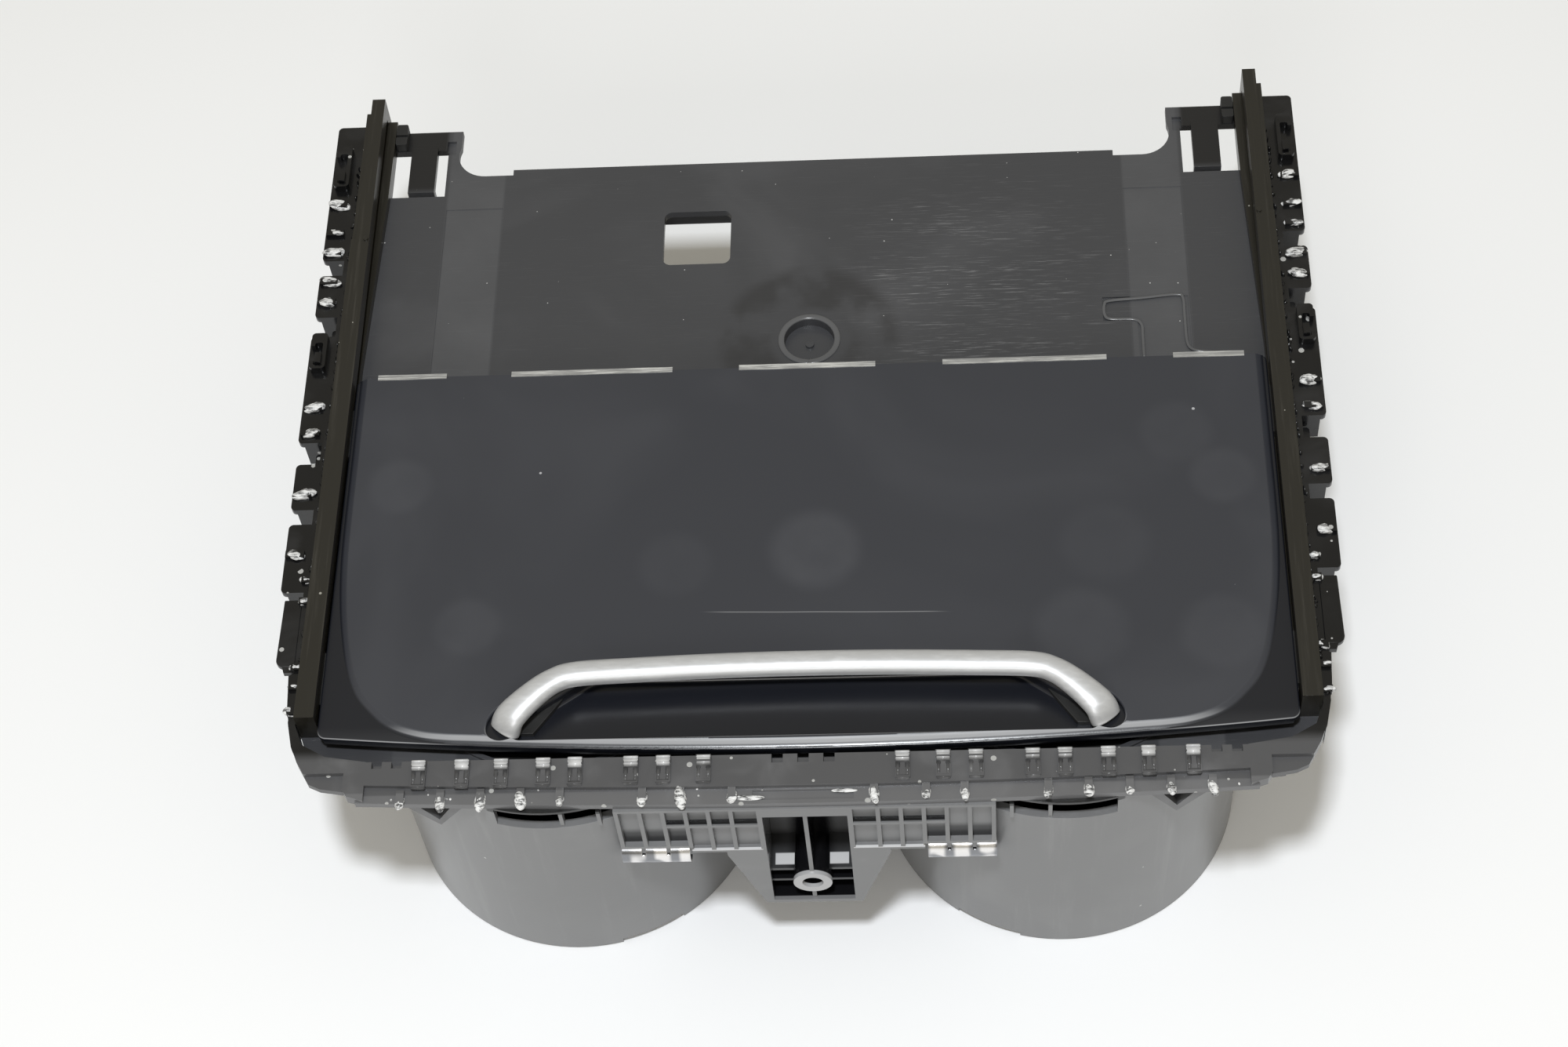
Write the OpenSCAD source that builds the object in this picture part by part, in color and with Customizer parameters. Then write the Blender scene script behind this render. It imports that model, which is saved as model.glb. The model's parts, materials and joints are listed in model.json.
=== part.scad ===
// Car cup holder with two wells, a sliding lid and a fixing bracket at the front.
// Lengths are millimetres. X runs to the right, Y to the rear, Z up from the feet of the wells.

/* [Rails] */
// Height of the rails' top edge above the feet of the wells
rail_top = 78; // [76:0.5:86]
// Length of a rail
rail_len = 189; // [186:1:205]
// Clear width between the two rails
bay_w = 226.6; // [222:0.2:236]
// Thickness of a rail's upright web
rail_w = 4.7; // [4.2:0.1:5.5]
// Thickness of the web behind the step
rail_rear_w = 3.4; // [3:0.1:4]
// Distance from the rail's front end to the step in its top
rail_step_y = 141.5; // [120:0.5:160]
// Depth of the step in the rail's top
rail_step_h = 1.2; // [0.5:0.1:2]
// Reach of the inner ledge at the rear end
ledge_w = 2.3; // [1:0.1:3]
// Distance from the rail's top down to the ledge
ledge_drop = 7; // [6.6:0.1:7.4]
// Where the ledge has run out, towards the front
ledge_front_y = 106; // [90:1:130]
// Height of the groove that guides the lid
groove_h = 2.4; // [2:0.1:2.8]
// Depth of the groove into the web
groove_d = 2.4; // [1.5:0.1:3]

/* [Floor] */
// Distance from the rail's top down to the floor plate
floor_drop = 9.5; // [9.3:0.1:9.8]
// Thickness of the floor plate and the cup deck
floor_t = 2; // [1.6:0.1:2.6]
// Distance from the wells' rear to the seam between cup deck and floor plate
seam_gap = 3.8; // [2.8:0.1:9]
// Rear edge of the floor plate
plate_rear_y = 171; // [169:0.5:174]
// Rear edge of the two rear lugs
lug_rear_y = 185; // [182:0.5:186]
// Inner edge of a rear lug, from the middle
lug_x = 94; // [90:0.5:95]
// Radius of the hollow corner between plate and lug
lug_fillet = 7.5; // [4:0.5:9]
// Width of the window in a lug
window_w = 14.4; // [13:0.1:15]
// Front edge of the window
window_front_y = 162.7; // [160:0.1:164]
// Length of the window
window_len = 15.8; // [14:0.1:17]
// Width of the snap tongue in the window
tongue_w = 7; // [5:0.1:8]
// Length that the snap tongue hangs below the plate
tongue_drop = 9; // [6:0.5:12]
// Side of the square hole
hole_w = 17.4; // [14:0.1:20]
// Middle of the square hole, from the middle of the plate
hole_x = -29.4; // [-34:0.1:-24]
// Middle of the square hole, from the rails' front end
hole_y = 146; // [140:0.1:152]
// Radius of the gate pit
pit_r = 6.3; // [5:0.1:8]
// Middle of the gate pit, from the rails' front end
pit_y = 112; // [104:0.5:118]
// Depth of the gate pit
pit_depth = 2.6; // [1.5:0.1:3.5]
// Height of the ribs under the plate
under_rib_h = 6; // [4:0.5:8]
// Thickness of those ribs
under_rib_t = 1.5; // [1.2:0.1:2]

/* [Cup wells] */
// Distance between the middles of the two wells
cup_pitch = 119.2; // [117:0.2:121]
// How far the wells' fronts stand before the front flange
cup_lead = 0.4; // [0.2:0.1:0.8]
// Outer radius at the top
cup_top_r = 44.6; // [42:0.1:47]
// Taper of the wall from top to foot, on the radius
cup_draft = 0.6; // [0.2:0.1:2]
// Thickness of the well's wall
cup_wall = 2; // [1.6:0.1:2.4]
// Thickness of the well's floor
cup_floor_t = 2.2; // [1.6:0.1:3]
// Height of the foot rim under the floor
foot_rim_h = 1.8; // [1:0.1:3]
// How far the deck reaches in over the well's wall, all round the mouth
mouth_lip = 7; // [6.8:0.1:9]
// Thickness of the mouth's collar
collar_t = 1.2; // [1:0.1:1.3]
// Width of the slot under the flange
slot_w = 28; // [24:0.5:29]
// Height of the slot
slot_h = 7.5; // [6:0.1:8.5]
// Thickness of the mat
mat_t = 2.4; // [1.5:0.1:4]
// Height of the mat's locating rim
mat_rim_h = 2.5; // [1.5:0.1:4]

/* [Grip flaps] */
// Width of a flap
flap_w = 22; // [18:0.5:22]
// Radius of the flap's hinge barrel
barrel_r = 2.8; // [2.4:0.1:3]
// Radius of the hinge pin
pin_r = 1; // [0.8:0.05:1.2]
// Clearance between pin and barrel
pin_gap = 0.05; // [0.02:0.01:0.09]
// How far the flap's nose stands in from its pin
nose_in = 13; // [11:0.5:14]
// How far the nose hangs below the pin
nose_down = 14; // [12:0.5:16]
// How far the tail hangs below the pin
tail_down = 27; // [24:0.5:32]
// Thickness of the flap
flap_t = 2.2; // [1.6:0.1:2.6]
// Thickness of the ears that hold the pin
ear_t = 2.4; // [2:0.1:3]
// Wire radius of the torsion spring
wire_r = 0.35; // [0.25:0.05:0.4]
// Turns of the torsion spring
spring_turns = 4; // [3:1:5]

/* [Lid] */
// Distance from the rail's top down to the lid's top
lid_drop = 2.3; // [2:0.1:2.6]
// Thickness of the lid's skin
skin_t = 2.2; // [1.8:0.1:2.4]
// Gap between lid and rail on each side
lid_gap = 0.7; // [0.5:0.1:1]
// Rear edge of the lid, from the rails' front end
lid_rear_y = 98.3; // [96:0.1:100]
// Front edge of the lid at its middle
lid_front_y = -9; // [-9.4:0.1:-8]
// How far the front edge bows forward at the middle
lid_bow = 5.3; // [3:0.1:7]
// Height of the lid's front face
lid_face_h = 3.9; // [3.2:0.1:4.1]
// Height of the raised field on the lid
field_h = 0.7; // [0.3:0.1:1]
// Distance the lid slides back
lid_travel = 88; // [70:1:88]
// Width of the finger recess at its front edge
recess_w = 128; // [110:1:132]
// Depth of the finger recess
recess_d = 3.6; // [2:0.1:3.8]
// Thickness of the carrier under the skin
carrier_t = 1.4; // [1.2:0.1:1.6]
// Length of a guide shoe
shoe_len = 14; // [10:0.5:18]
// Running gap between a shoe and its groove
shoe_gap = 0.2; // [0.1:0.05:0.3]

/* [Handle] */
// How far the handle's ends lie outside the finger recess
handle_step = 5.3; // [4.6:0.1:7]
// Width of the bar
bar_w = 6; // [5:0.1:6.6]
// Height of the bar
bar_h = 4.8; // [4:0.1:6]
// Height of the bar's middle line above the lid
bar_lift = 3.6; // [3:0.1:5]
// Place of the bar's middle, from the rails' front end
bar_y = 9.4; // [8:0.1:10]

/* [Frame] */
// Distance from the rail's top down to the flanges
flange_drop = 3; // [2.8:0.1:3.4]
// Thickness of the side tabs
tab_t = 1.8; // [1.4:0.1:2.4]
// Thickness of the side walls
wall_t = 1.8; // [1.5:0.1:2.4]
// Height of the side walls
wall_h = 15; // [13:0.5:20]
// Front edge of the front flange at its middle
flange_front_y = -22.6; // [-23:0.1:-22]
// Depth of the front flange, front to rear
flange_depth = 10.6; // [10:0.1:11.4]
// Thickness of the front flange
flange_t = 3; // [2.4:0.1:3.4]
// Height of the torn weld stubs
stub_h = 1; // [0.5:0.1:2]
// Width of the small bosses on the front flange
boss_w = 3.4; // [2.6:0.1:4.2]

/* [Front bracket] */
// Front plane of the bracket, from the rails' front end
bracket_y = -23; // [-23.4:0.1:-22.4]
// Depth of the egg-crate ribs
crate_depth = 8; // [6:0.5:8.5]
// Thickness of the ribs
crate_rib_t = 1; // [0.8:0.1:1.4]
// Distance from the rail's top down to the bracket's lower edge
bracket_drop = 53.6; // [52:0.2:56]
// Width of the screw pocket
pocket_w = 19.4; // [17:0.2:20]
// Outer radius of the screw boss
screw_boss_r = 4.6; // [4:0.1:5.4]
// Radius of the screw boss's bore
screw_bore_r = 2.5; // [2:0.1:3]
// Length of the screw boss's bore
screw_bore_len = 12; // [8:0.5:13]
// Distance from the rail's top down to the screw boss
screw_boss_drop = 43.4; // [42:0.1:44]

/* [Hidden] */

LEFT = -1;
RIGHT = 1;
fit = 0.1;
cut = 0.5;
$fn = 64;

// Heights above the feet of the wells
floor_top = rail_top - floor_drop;
floor_under = floor_top - floor_t;
ledge_top = rail_top - ledge_drop;
flange_top = rail_top - flange_drop;
flange_under = flange_top - flange_t;
lid_top = rail_top - lid_drop;
skin_under = lid_top - skin_t;
carrier_under = skin_under - carrier_t;
groove_under = ledge_top + 0.2;
wall_under = flange_top - wall_h;
seat_h = 2;
clip_sheet = 0.7;
arm_drop = 24.5;

// Places across the part, from the middle
rail_in = bay_w / 2;
rail_out = rail_in + rail_w;
wall_in = rail_out + fit;
wall_out = wall_in + wall_t;
lid_half = rail_in - lid_gap;
cup_x = cup_pitch / 2;
cup_foot_r = cup_top_r - cup_draft;
mouth_r = cup_top_r - cup_wall - mouth_lip;
handle_w = recess_w + 2 * handle_step;

// Places along the part, from the rails' front end
flange_rear_y = flange_front_y + flange_depth;
cup_front_y = flange_front_y - cup_lead;
cup_y = cup_front_y + cup_top_r;
seam_y = cup_y + cup_top_r + seam_gap;
front_y = bracket_y - clip_sheet - fit;
mid_y = (rail_len + front_y) / 2;
deck_front_y = flange_rear_y + 1.6;
mouth_y = deck_front_y + fit + mouth_r + collar_t;
front_shoe_y = 6;
rear_shoe_y = lid_rear_y - shoe_len - 8;
buffer_y = rear_shoe_y + shoe_len + lid_travel + 0.4;
buffer_len = 7;

// The flap's pin, and the frame the flap is drawn in
flap_x = cup_x - 1;
pin_y = cup_front_y + 7.4;
pin_z = floor_under - 0.5;

function bow_radius(half, rise) = (half * half + rise * rise) / (2 * rise);

module at_rest() {
    translate([0, -mid_y, 0]) children();
}

module on_side(side) {
    mirror([side < 0 ? 1 : 0, 0, 0]) children();
}

module both_sides() {
    children();
    mirror([1, 0, 0]) children();
}

module both_sides_flat() {
    children();
    mirror([1, 0]) children();
}

module block(x0, x1, y0, y1, z0, z1) {
    translate([x0, y0, z0]) cube([x1 - x0, y1 - y0, z1 - z0]);
}

// Rectangle with four round corners
module soft_rect(x0, x1, y0, y1, r) {
    translate([x0 + r, y0]) square([x1 - x0 - 2 * r, y1 - y0]);
    translate([x0, y0 + r]) square([x1 - x0, y1 - y0 - 2 * r]);
    for (x = [x0 + r, x1 - r], y = [y0 + r, y1 - r])
        translate([x, y]) circle(r = r, $fn = 32);
}

module soft_block(x0, x1, y0, y1, z0, z1, r) {
    translate([0, 0, z0]) linear_extrude(z1 - z0) soft_rect(x0, x1, y0, y1, r);
}

// Plan shape whose front edge bows forward by rise over the half width
module bowed_plan(half, front, rear, rise) {
    r = bow_radius(half, rise);
    intersection() {
        translate([0, front + r]) circle(r = r, $fn = 720);
        translate([-half, front - 1]) square([2 * half, rear - front + 1]);
    }
}

// Side tabs: start, end and reach from the wall
TABS = [[136.8, 182, 7.5], [118.5, 132, 7.6], [79.6, 112.4, 7.8], [59.7, 73.2, 7.5], [36, 55.5, 7.4]];
// Lower brackets between the tabs
LOW_TABS = [[114.5, 117, 3.6], [75, 78.6, 3.8]];
// Torn weld stubs on the tabs, from the rails' front end
SIDE_STUBS = [155, 145.6, 139.2, 129.6, 123.1, 90, 82.3, 64, 46.5];
// Stubs on the narrow wall edge near the front
WALL_STUBS = [39.3, 33.2, 15, 9.7, 3];
// Small bosses and torn stubs on the front flange, from the middle
FLANGE_BOSSES = [22.6, 31.8, 39.2, 52, 59.3, 69, 78, 88];
FLANGE_STUBS = [16.1, 27.8, 36.5, 55.3, 64.3, 73.5, 82.7, 92];
stub_w = 1.8;
stub_len = 4.6;
corner_x = 102.5;

module side_tab(y0, y1, reach) {
    soft_block(wall_in, wall_in + reach, y0, y1, flange_top - tab_t, flange_top, 1.2);
    block(wall_in, wall_out + 1, y0, y1, flange_top - tab_t, flange_top);
    // Leg under the front edge of the tab
    block(wall_out - cut, wall_in + reach - 1.4, y0, y0 + tab_t, flange_top - 9, flange_top - cut);
}

module side_wall() {
    block(wall_in, wall_out, deck_front_y, 182, wall_under, flange_top);
    // Seat for the floor plate and the cup deck
    block(wall_in - 3, wall_in + cut, deck_front_y, 182, floor_under - seat_h, floor_under);
    for (t = TABS) side_tab(t[0], t[1], t[2]);
    for (t = LOW_TABS)
        soft_block(wall_in, wall_in + t[2], t[0], t[1], flange_top - 6, flange_top - 3.6, 0.8);
    // Fin that flares outwards near the front
    translate([0, 0, flange_top - 9]) linear_extrude(9 - cut / 2)
        polygon([[wall_in, 34], [wall_in + 3.8, 34], [wall_in + 5.3, 17], [wall_in + 4.4, 14], [wall_in, 14]]);
    for (y = SIDE_STUBS) translate([wall_in + 2.6, y - stub_w / 2, flange_top - cut])
        cube([stub_len, stub_w, stub_h + cut]);
    for (y = WALL_STUBS) translate([wall_in + 0.1, y - stub_w / 2, flange_top - cut])
        cube([stub_len - 2.2, stub_w, stub_h + cut]);
}

// Inside line of the corner, from the side wall to the front flange
function corner_inside(gap) = [[wall_in - gap, 14.8], [wall_in - gap, -0.3 + gap], [wall_in - 2 - gap, -5.5 + gap],
    [wall_in - 7.7 - gap, -8.8 + gap], [corner_x - 2 - gap, deck_front_y + gap]];

// Corner that carries the side wall round to the front flange
module frame_corner() {
    difference() {
        translate([0, 0, flange_under]) linear_extrude(flange_t)
            polygon(concat([[corner_x - 2, flange_front_y + 2.2], [wall_in - 13.7, flange_front_y + 3.4],
                            [wall_in - 12.6, flange_front_y + 5.2], [wall_in - 7.1, flange_front_y + 6.1],
                            [wall_in - 4.3, flange_front_y + 7.4], [wall_in - 1.3, -10], [wall_in + 0.3, -6],
                            [wall_in + 1.5, -0.5], [wall_out + 0.6, 4.4], [wall_out + 1.2, 13]],
                           corner_inside(0), [[corner_x - 2, flange_rear_y]]));
        // Lower shelf outside the groove
        block(wall_in - 12.6, wall_in + 4, flange_front_y - 1, flange_front_y + 9.4,
              flange_top - 1.4, flange_top + 1);
    }
    // Skirt below the corner
    translate([0, 0, wall_under]) linear_extrude(wall_h - flange_t + cut)
        polygon(concat([[corner_x - 2, flange_rear_y + 0.2], [wall_in - 7.1, flange_rear_y + 1.4],
                        [wall_in - 1, -7.5], [wall_out, -1], [wall_out, 14.8]], corner_inside(0)));
}

// V-shaped gusset between the front flange and the outer side of a well
module gusset() {
    reach = flange_depth - 2;
    // It starts where the well's wall has fallen back this far from its front
    fall = 3.33;
    gusset_x = cup_x + sqrt(fall * (2 * cup_top_r - fall));
    difference() {
        translate([gusset_x, flange_rear_y + 0.5, 0]) rotate([90, 0, 0]) linear_extrude(reach) difference() {
            polygon([[0, flange_under + 0.3], [15.5, flange_under + 0.3], [7.9, flange_under - 10]]);
            polygon([[2.8, flange_under + 1], [12.9, flange_under + 1], [7.9, flange_under - 7.4]]);
        }
        well_envelope();
    }
}

// Space that both wells take, with their fitting gap
module well_envelope() {
    both_sides() translate([cup_x, cup_y, -1])
        cylinder(r1 = cup_foot_r + fit - 0.023, r2 = cup_top_r + fit, h = flange_under + 1, $fn = 96);
}

module front_flange() {
    half = corner_x;
    translate([0, 0, flange_under]) linear_extrude(flange_t - 1.2)
        bowed_plan(half, flange_front_y, flange_rear_y, 2.2);
    translate([0, 0, flange_under]) linear_extrude(flange_t)
        bowed_plan(half, flange_front_y + 4, flange_rear_y, 2.2);
    // Low wall behind the flange that the deck seats against
    translate([0, 0, floor_under - seat_h]) linear_extrude(flange_top - floor_under + seat_h)
        translate([-half, flange_rear_y - 0.1]) square([2 * half, 1.6]);
    block(-half, half, flange_rear_y + 1, flange_rear_y + 4.5, floor_under - seat_h, floor_under);
    both_sides() {
        for (x = FLANGE_BOSSES) translate([x, flange_rear_y + 0.2, flange_top - cut]) {
            translate([-boss_w / 2, -5.6, 0]) cube([boss_w, 6.4, cut + 0.7]);
            translate([-boss_w / 2, -0.9, 0]) cube([boss_w, 1.7, cut + 1.5]);
        }
        for (x = FLANGE_STUBS) translate([x - stub_w / 2, flange_front_y + 1.6, flange_top - 1.7])
            cube([stub_w, 3.2, stub_h + cut]);
    }
}

module top_frame() {
    color("#1b1c1e") at_rest() difference() {
        union() {
            both_sides() side_wall();
            both_sides() frame_corner();
            both_sides() gusset();
            front_flange();
        }
        well_lower_space();
        // Notches in the rear edge of the flange
        for (x = [-5.9, 0, 5.9])
            block(x - 1.3, x + 1.3, flange_rear_y - 0.7, flange_rear_y + 3, flange_top - 2, flange_top + 2);
        both_sides() for (x = [93.4, 98])
            block(x - 1.2, x + 1.2, flange_rear_y - 0.2, flange_rear_y + 3, flange_top - 2, flange_top + 2);
        // Recess in the middle of the flange
        block(-11.5, 11.5, flange_front_y + 1, flange_front_y + 3.4, flange_top - 1.7, flange_top + 1);
    }
}

// Space of the wells below the cup deck
module well_lower_space() {
    both_sides() translate([cup_x, cup_y, wall_under])
        cylinder(r = cup_top_r + fit, h = floor_under - wall_under, $fn = 96);
}

// Plan of one half of the floor plate
module plate_half_plan() {
    difference() {
        union() {
            translate([-cut, seam_y]) square([wall_in - fit + cut, window_front_y - 2 - seam_y]);
            translate([-cut, 150]) square([80.3 + cut, plate_rear_y - 150]);
            translate([80, 150]) square([lug_x - 80, plate_rear_y - 1.8 - 150 + lug_fillet]);
            translate([lug_x - cut, 150]) square([wall_in - fit - lug_x + cut, lug_rear_y - 150]);
        }
        translate([lug_x - lug_fillet, plate_rear_y - 1.8 + lug_fillet]) circle(r = lug_fillet);
        translate([79, plate_rear_y - 1.8]) square([lug_x - lug_fillet - 79, 20]);
        translate([wall_in - fit - rail_w - ledge_w - window_w + 0.3, window_front_y])
            square([window_w, window_len]);
    }
}

module snap_tongue() {
    x0 = rail_in - ledge_w - window_w + 3.2;
    block(x0, x0 + tongue_w, window_front_y + 3, window_front_y + window_len + 1,
          floor_top - 1.5, floor_top + 0.3);
    block(x0, x0 + tongue_w, window_front_y + 1.3, window_front_y + 3.1,
          floor_top - tongue_drop, floor_top + 0.3);
    block(x0, x0 + tongue_w, window_front_y + 0.6, window_front_y + 3.1,
          floor_top - tongue_drop, floor_top - tongue_drop + 1.6);
}

module floor_plate() {
    color("#3b3c3e") at_rest() difference() {
        union() {
            translate([0, 0, floor_under]) linear_extrude(floor_t) both_sides_flat() plate_half_plan();
            both_sides() snap_tongue();
            translate([0, pit_y, floor_top - pit_depth - 1.4]) cylinder(r = pit_r + 1.3, h = pit_depth + 1);
            // Ribs under the plate
            both_sides() for (x = [18, 52, 86])
                block(x, x + under_rib_t, seam_y + 4, window_front_y - 4, floor_under - under_rib_h, floor_under + cut);
            for (y = [seam_y + 4, 96, 130, window_front_y - 5.5])
                block(-wall_in + 6, wall_in - 6, y, y + under_rib_t, floor_under - under_rib_h, floor_under + cut);
        }
        soft_block(hole_x - hole_w / 2, hole_x + hole_w / 2, hole_y - hole_w / 2, hole_y + hole_w / 2,
                   floor_under - 1, floor_top + 1, 2);
        translate([0, pit_y, floor_top - pit_depth]) cylinder(r = pit_r, h = pit_depth + 1);
        // Shallow bands where the lid's pads run
        both_sides() block(81, 96, seam_y + 6, 158, floor_top - 0.2, floor_top + 1);
        // Sunk pad beside the right band
        translate([0, 0, floor_top - 0.5]) linear_extrude(1)
            polygon([[74, pit_y + 3], [82.6, pit_y + 3], [82.6, pit_y - 8.2], [95.6, pit_y - 8.2],
                     [95.6, pit_y + 10.5], [74, pit_y + 10.5]]);
        // Sunk corner of each lug
        both_sides() block(lug_x + 1, lug_x + 3.4, lug_rear_y - 8, lug_rear_y - 3.4, floor_top - 1, floor_top + 1);
    }
    // Small nub in the pit
    color("#3b3c3e") at_rest() translate([0, pit_y, floor_top - pit_depth - 0.2])
        cylinder(r = 1.1, h = 1);
}

module guide_rail(side) {
    color("#2f2b25") at_rest() on_side(side) difference() {
        union() {
            block(rail_in, rail_out, 0, rail_step_y, floor_top, rail_top);
            block(rail_in, rail_in + rail_rear_w, rail_step_y - cut, rail_len, floor_top, rail_top);
            block(rail_in, rail_out, rail_step_y - cut, lug_rear_y, floor_top, rail_top - rail_step_h);
            // Small nub at the step
            translate([rail_in + 0.9, rail_step_y, rail_top - cut]) cylinder(r = 0.7, h = cut + 0.4, $fn = 24);
            translate([0, 0, floor_top]) linear_extrude(ledge_top - floor_top)
                polygon([[rail_in + cut, ledge_front_y], [rail_in, ledge_front_y], [rail_in - ledge_w + 0.3, 160],
                         [rail_in - ledge_w, lug_rear_y + 2], [rail_in + cut, lug_rear_y + 2]]);
        }
        // Groove for the lid's shoes
        block(rail_in - 1, rail_in + groove_d, front_shoe_y - 1, buffer_y + buffer_len, groove_under,
              groove_under + groove_h);
        // Sloped front end
        translate([rail_in - 1, 0, rail_top]) rotate([45, 0, 0]) cube([rail_w + 2, 3, 3], center = false);
    }
}

// Deck over the wells, with the two mouths
module cup_deck() {
    color("#232427") at_rest() difference() {
        union() {
            translate([0, 0, floor_under]) linear_extrude(floor_t) both_sides_flat()
                polygon(concat([[0, seam_y - fit], [wall_in - fit, seam_y - fit]], corner_inside(fit),
                               [[0, deck_front_y + fit]]));
            both_sides() translate([cup_x, mouth_y, floor_under])
                cylinder(r = mouth_r + collar_t, h = floor_t + 0.8, $fn = 96);
        }
        both_sides() translate([cup_x, mouth_y, floor_under - 8]) cylinder(r = mouth_r, h = 20, $fn = 96);
    }
}

// Holder under the deck with two ears for the flap's pin
module flap_bracket(side) {
    ear_r = 2.6;
    half = flap_w / 2 + 0.5 + ear_t;
    low = pin_z - 4;
    post_y = deck_front_y + 3.4 + fit;
    color("#1f2022") at_rest() on_side(side) difference() {
        union() {
            for (s = [-1, 1]) translate([flap_x + s * (flap_w / 2 + 0.5 + ear_t / 2) - ear_t / 2, 0, 0]) {
                // The ear passes under the frame's low wall
                block(0, ear_t, pin_y, post_y + ear_r, low, floor_under - seat_h - fit);
                block(0, ear_t, pin_y, flange_rear_y - 1, low, pin_z + 1);
                block(0, ear_t, post_y, post_y + ear_r, low, floor_under);
                translate([0, pin_y, pin_z]) rotate([0, 90, 0]) cylinder(r = ear_r, h = ear_t);
            }
            // Bar under the deck, with a wing beyond each ear
            block(flap_x - flap_w, flap_x + flap_w, post_y, post_y + ear_r, floor_under - 2.4, floor_under);
        }
        translate([flap_x - half - 1, pin_y, pin_z]) rotate([0, 90, 0]) cylinder(r = pin_r, h = 2 * half + 2);
        // Front of the ears, clear of the well's wall
        difference() {
            block(0, cup_x + cup_top_r, pin_y - 8, pin_y, low - 1, pin_z + 4);
            translate([cup_x, cup_y, low - 2]) cylinder(r = cup_foot_r - cup_wall - fit, h = 20, $fn = 96);
        }
    }
}

module cup_well(side) {
    color("#6c6d70") at_rest() on_side(side) difference() {
        translate([cup_x, cup_y, 0]) union() {
            difference() {
                cylinder(r1 = cup_foot_r, r2 = cup_top_r, h = flange_under, $fn = 96);
                translate([0, 0, foot_rim_h + cup_floor_t])
                    cylinder(r1 = cup_foot_r - cup_wall, r2 = cup_top_r - cup_wall,
                             h = flange_under - foot_rim_h - cup_floor_t + 0.01, $fn = 96);
                translate([0, 0, -1]) cylinder(r = cup_foot_r - cup_wall, h = foot_rim_h + 1, $fn = 96);
            }
            // Rim that the deck lies on
            difference() {
                translate([0, 0, floor_under - 1.8]) cylinder(r = cup_top_r + 1.6, h = 1.8, $fn = 96);
                translate([0, 0, floor_under - 3]) cylinder(r = cup_top_r - cup_wall, h = 5, $fn = 96);
                translate([-2 * cup_top_r, deck_front_y + 4 - cup_y - 2 * cup_top_r, 0])
                    cube([4 * cup_top_r, 2 * cup_top_r, rail_top]);
            }
        }
        // Only the front of the wall rises to the flange
        block(0, 130, flange_rear_y - fit - 0.2, 120, floor_under, flange_under + 1);
        // Slot under the flange
        block(cup_x - 2.7 - slot_w / 2, cup_x - 2.7 + slot_w / 2, cup_front_y - 5, cup_front_y + 9,
              flange_under - slot_h, flange_under - 0.8);
        // Raised stretch of the foot rim
        translate([cup_x, cup_y, -1]) rotate([0, 0, -104]) translate([0, -16, 0]) cube([60, 16, 2.5]);
    }
}

module cup_mat(side) {
    mat_r = cup_foot_r - cup_wall - 0.3;
    groove_pitch = (mouth_r - 5.6) / 3;
    color("#151617") at_rest() on_side(side)
        translate([cup_x, cup_y, foot_rim_h + cup_floor_t]) difference() {
            union() {
                cylinder(r = mat_r, h = mat_t, $fn = 96);
                translate([0, mouth_y - cup_y - 2, 0]) cylinder(r = mouth_r - 2, h = mat_t + mat_rim_h, $fn = 96);
            }
            translate([0, mouth_y - cup_y - 2, mat_t]) cylinder(r = mouth_r - 4, h = 10, $fn = 96);
            // Drain grooves
            for (i = [1 : 3]) translate([0, mouth_y - cup_y - 2, mat_t - 0.8]) difference() {
                cylinder(r = i * groove_pitch, h = 2);
                translate([0, 0, -1]) cylinder(r = i * groove_pitch - 1.6, h = 4);
            }
        }
}

module flap_profile() {
    hull() {
        circle(r = barrel_r, $fn = 32);
        translate([nose_in, -nose_down]) circle(r = flap_t / 2, $fn = 16);
    }
    hull() {
        translate([nose_in, -nose_down]) circle(r = flap_t / 2, $fn = 16);
        translate([nose_in - 3, -tail_down]) circle(r = flap_t / 2, $fn = 16);
    }
}

module grip_flap(side) {
    color("#202124") at_rest() on_side(side) translate([flap_x, pin_y, pin_z]) difference() {
        rotate([90, 0, 90]) linear_extrude(flap_w, center = true) difference() {
            flap_profile();
            // Lightening pocket behind the nose
            translate([nose_in * 0.5, -nose_down * 0.5]) rotate(-47) square([6, 1.6], center = true);
        }
        rotate([0, 90, 0]) cylinder(r = pin_r + pin_gap, h = flap_w + 2, center = true);
        // Seat for the coil of the spring
        translate([flap_w / 2 - spring_len - 0.4, 0, 0]) rotate([0, 90, 0])
            cylinder(r = barrel_r + 1, h = spring_len + 1);
    }
}

coil_r = pin_r + wire_r + 0.5;
coil_pitch = 2 * wire_r * 0.9;
spring_len = spring_turns * coil_pitch + 2 * wire_r;

module flap_pin(side) {
    half = flap_w / 2 + 0.5 + ear_t;
    color("#b9bbbe") at_rest() on_side(side) translate([flap_x - half, pin_y, pin_z])
        rotate([0, 90, 0]) cylinder(r = pin_r, h = 2 * half);
}

// Outline of the touching turns, outer side up and inner side back
function coil_outline() = concat(
    [for (i = [0 : spring_turns - 1], a = [-60 : 30 : 60]) [coil_r + wire_r * cos(a), i * coil_pitch + wire_r * sin(a)]],
    [for (i = [spring_turns - 1 : -1 : 0], a = [60 : -30 : -60]) [coil_r - wire_r * cos(a), i * coil_pitch + wire_r * sin(a)]]);

module flap_spring(side) {
    color("#a9abae") at_rest() on_side(side)
        translate([flap_x + flap_w / 2 - spring_len + wire_r, pin_y, pin_z]) {
            rotate([0, 90, 0]) rotate_extrude($fn = 32) polygon(coil_outline());
            // Legs that bear on the flap and on the ear
            translate([0, coil_r, -3]) cylinder(r = wire_r * 0.8, h = 2.9, $fn = 16);
            translate([(spring_turns - 1) * coil_pitch, -coil_r, 0.1]) cylinder(r = wire_r * 0.8, h = 2.9, $fn = 16);
        }
}

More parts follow.
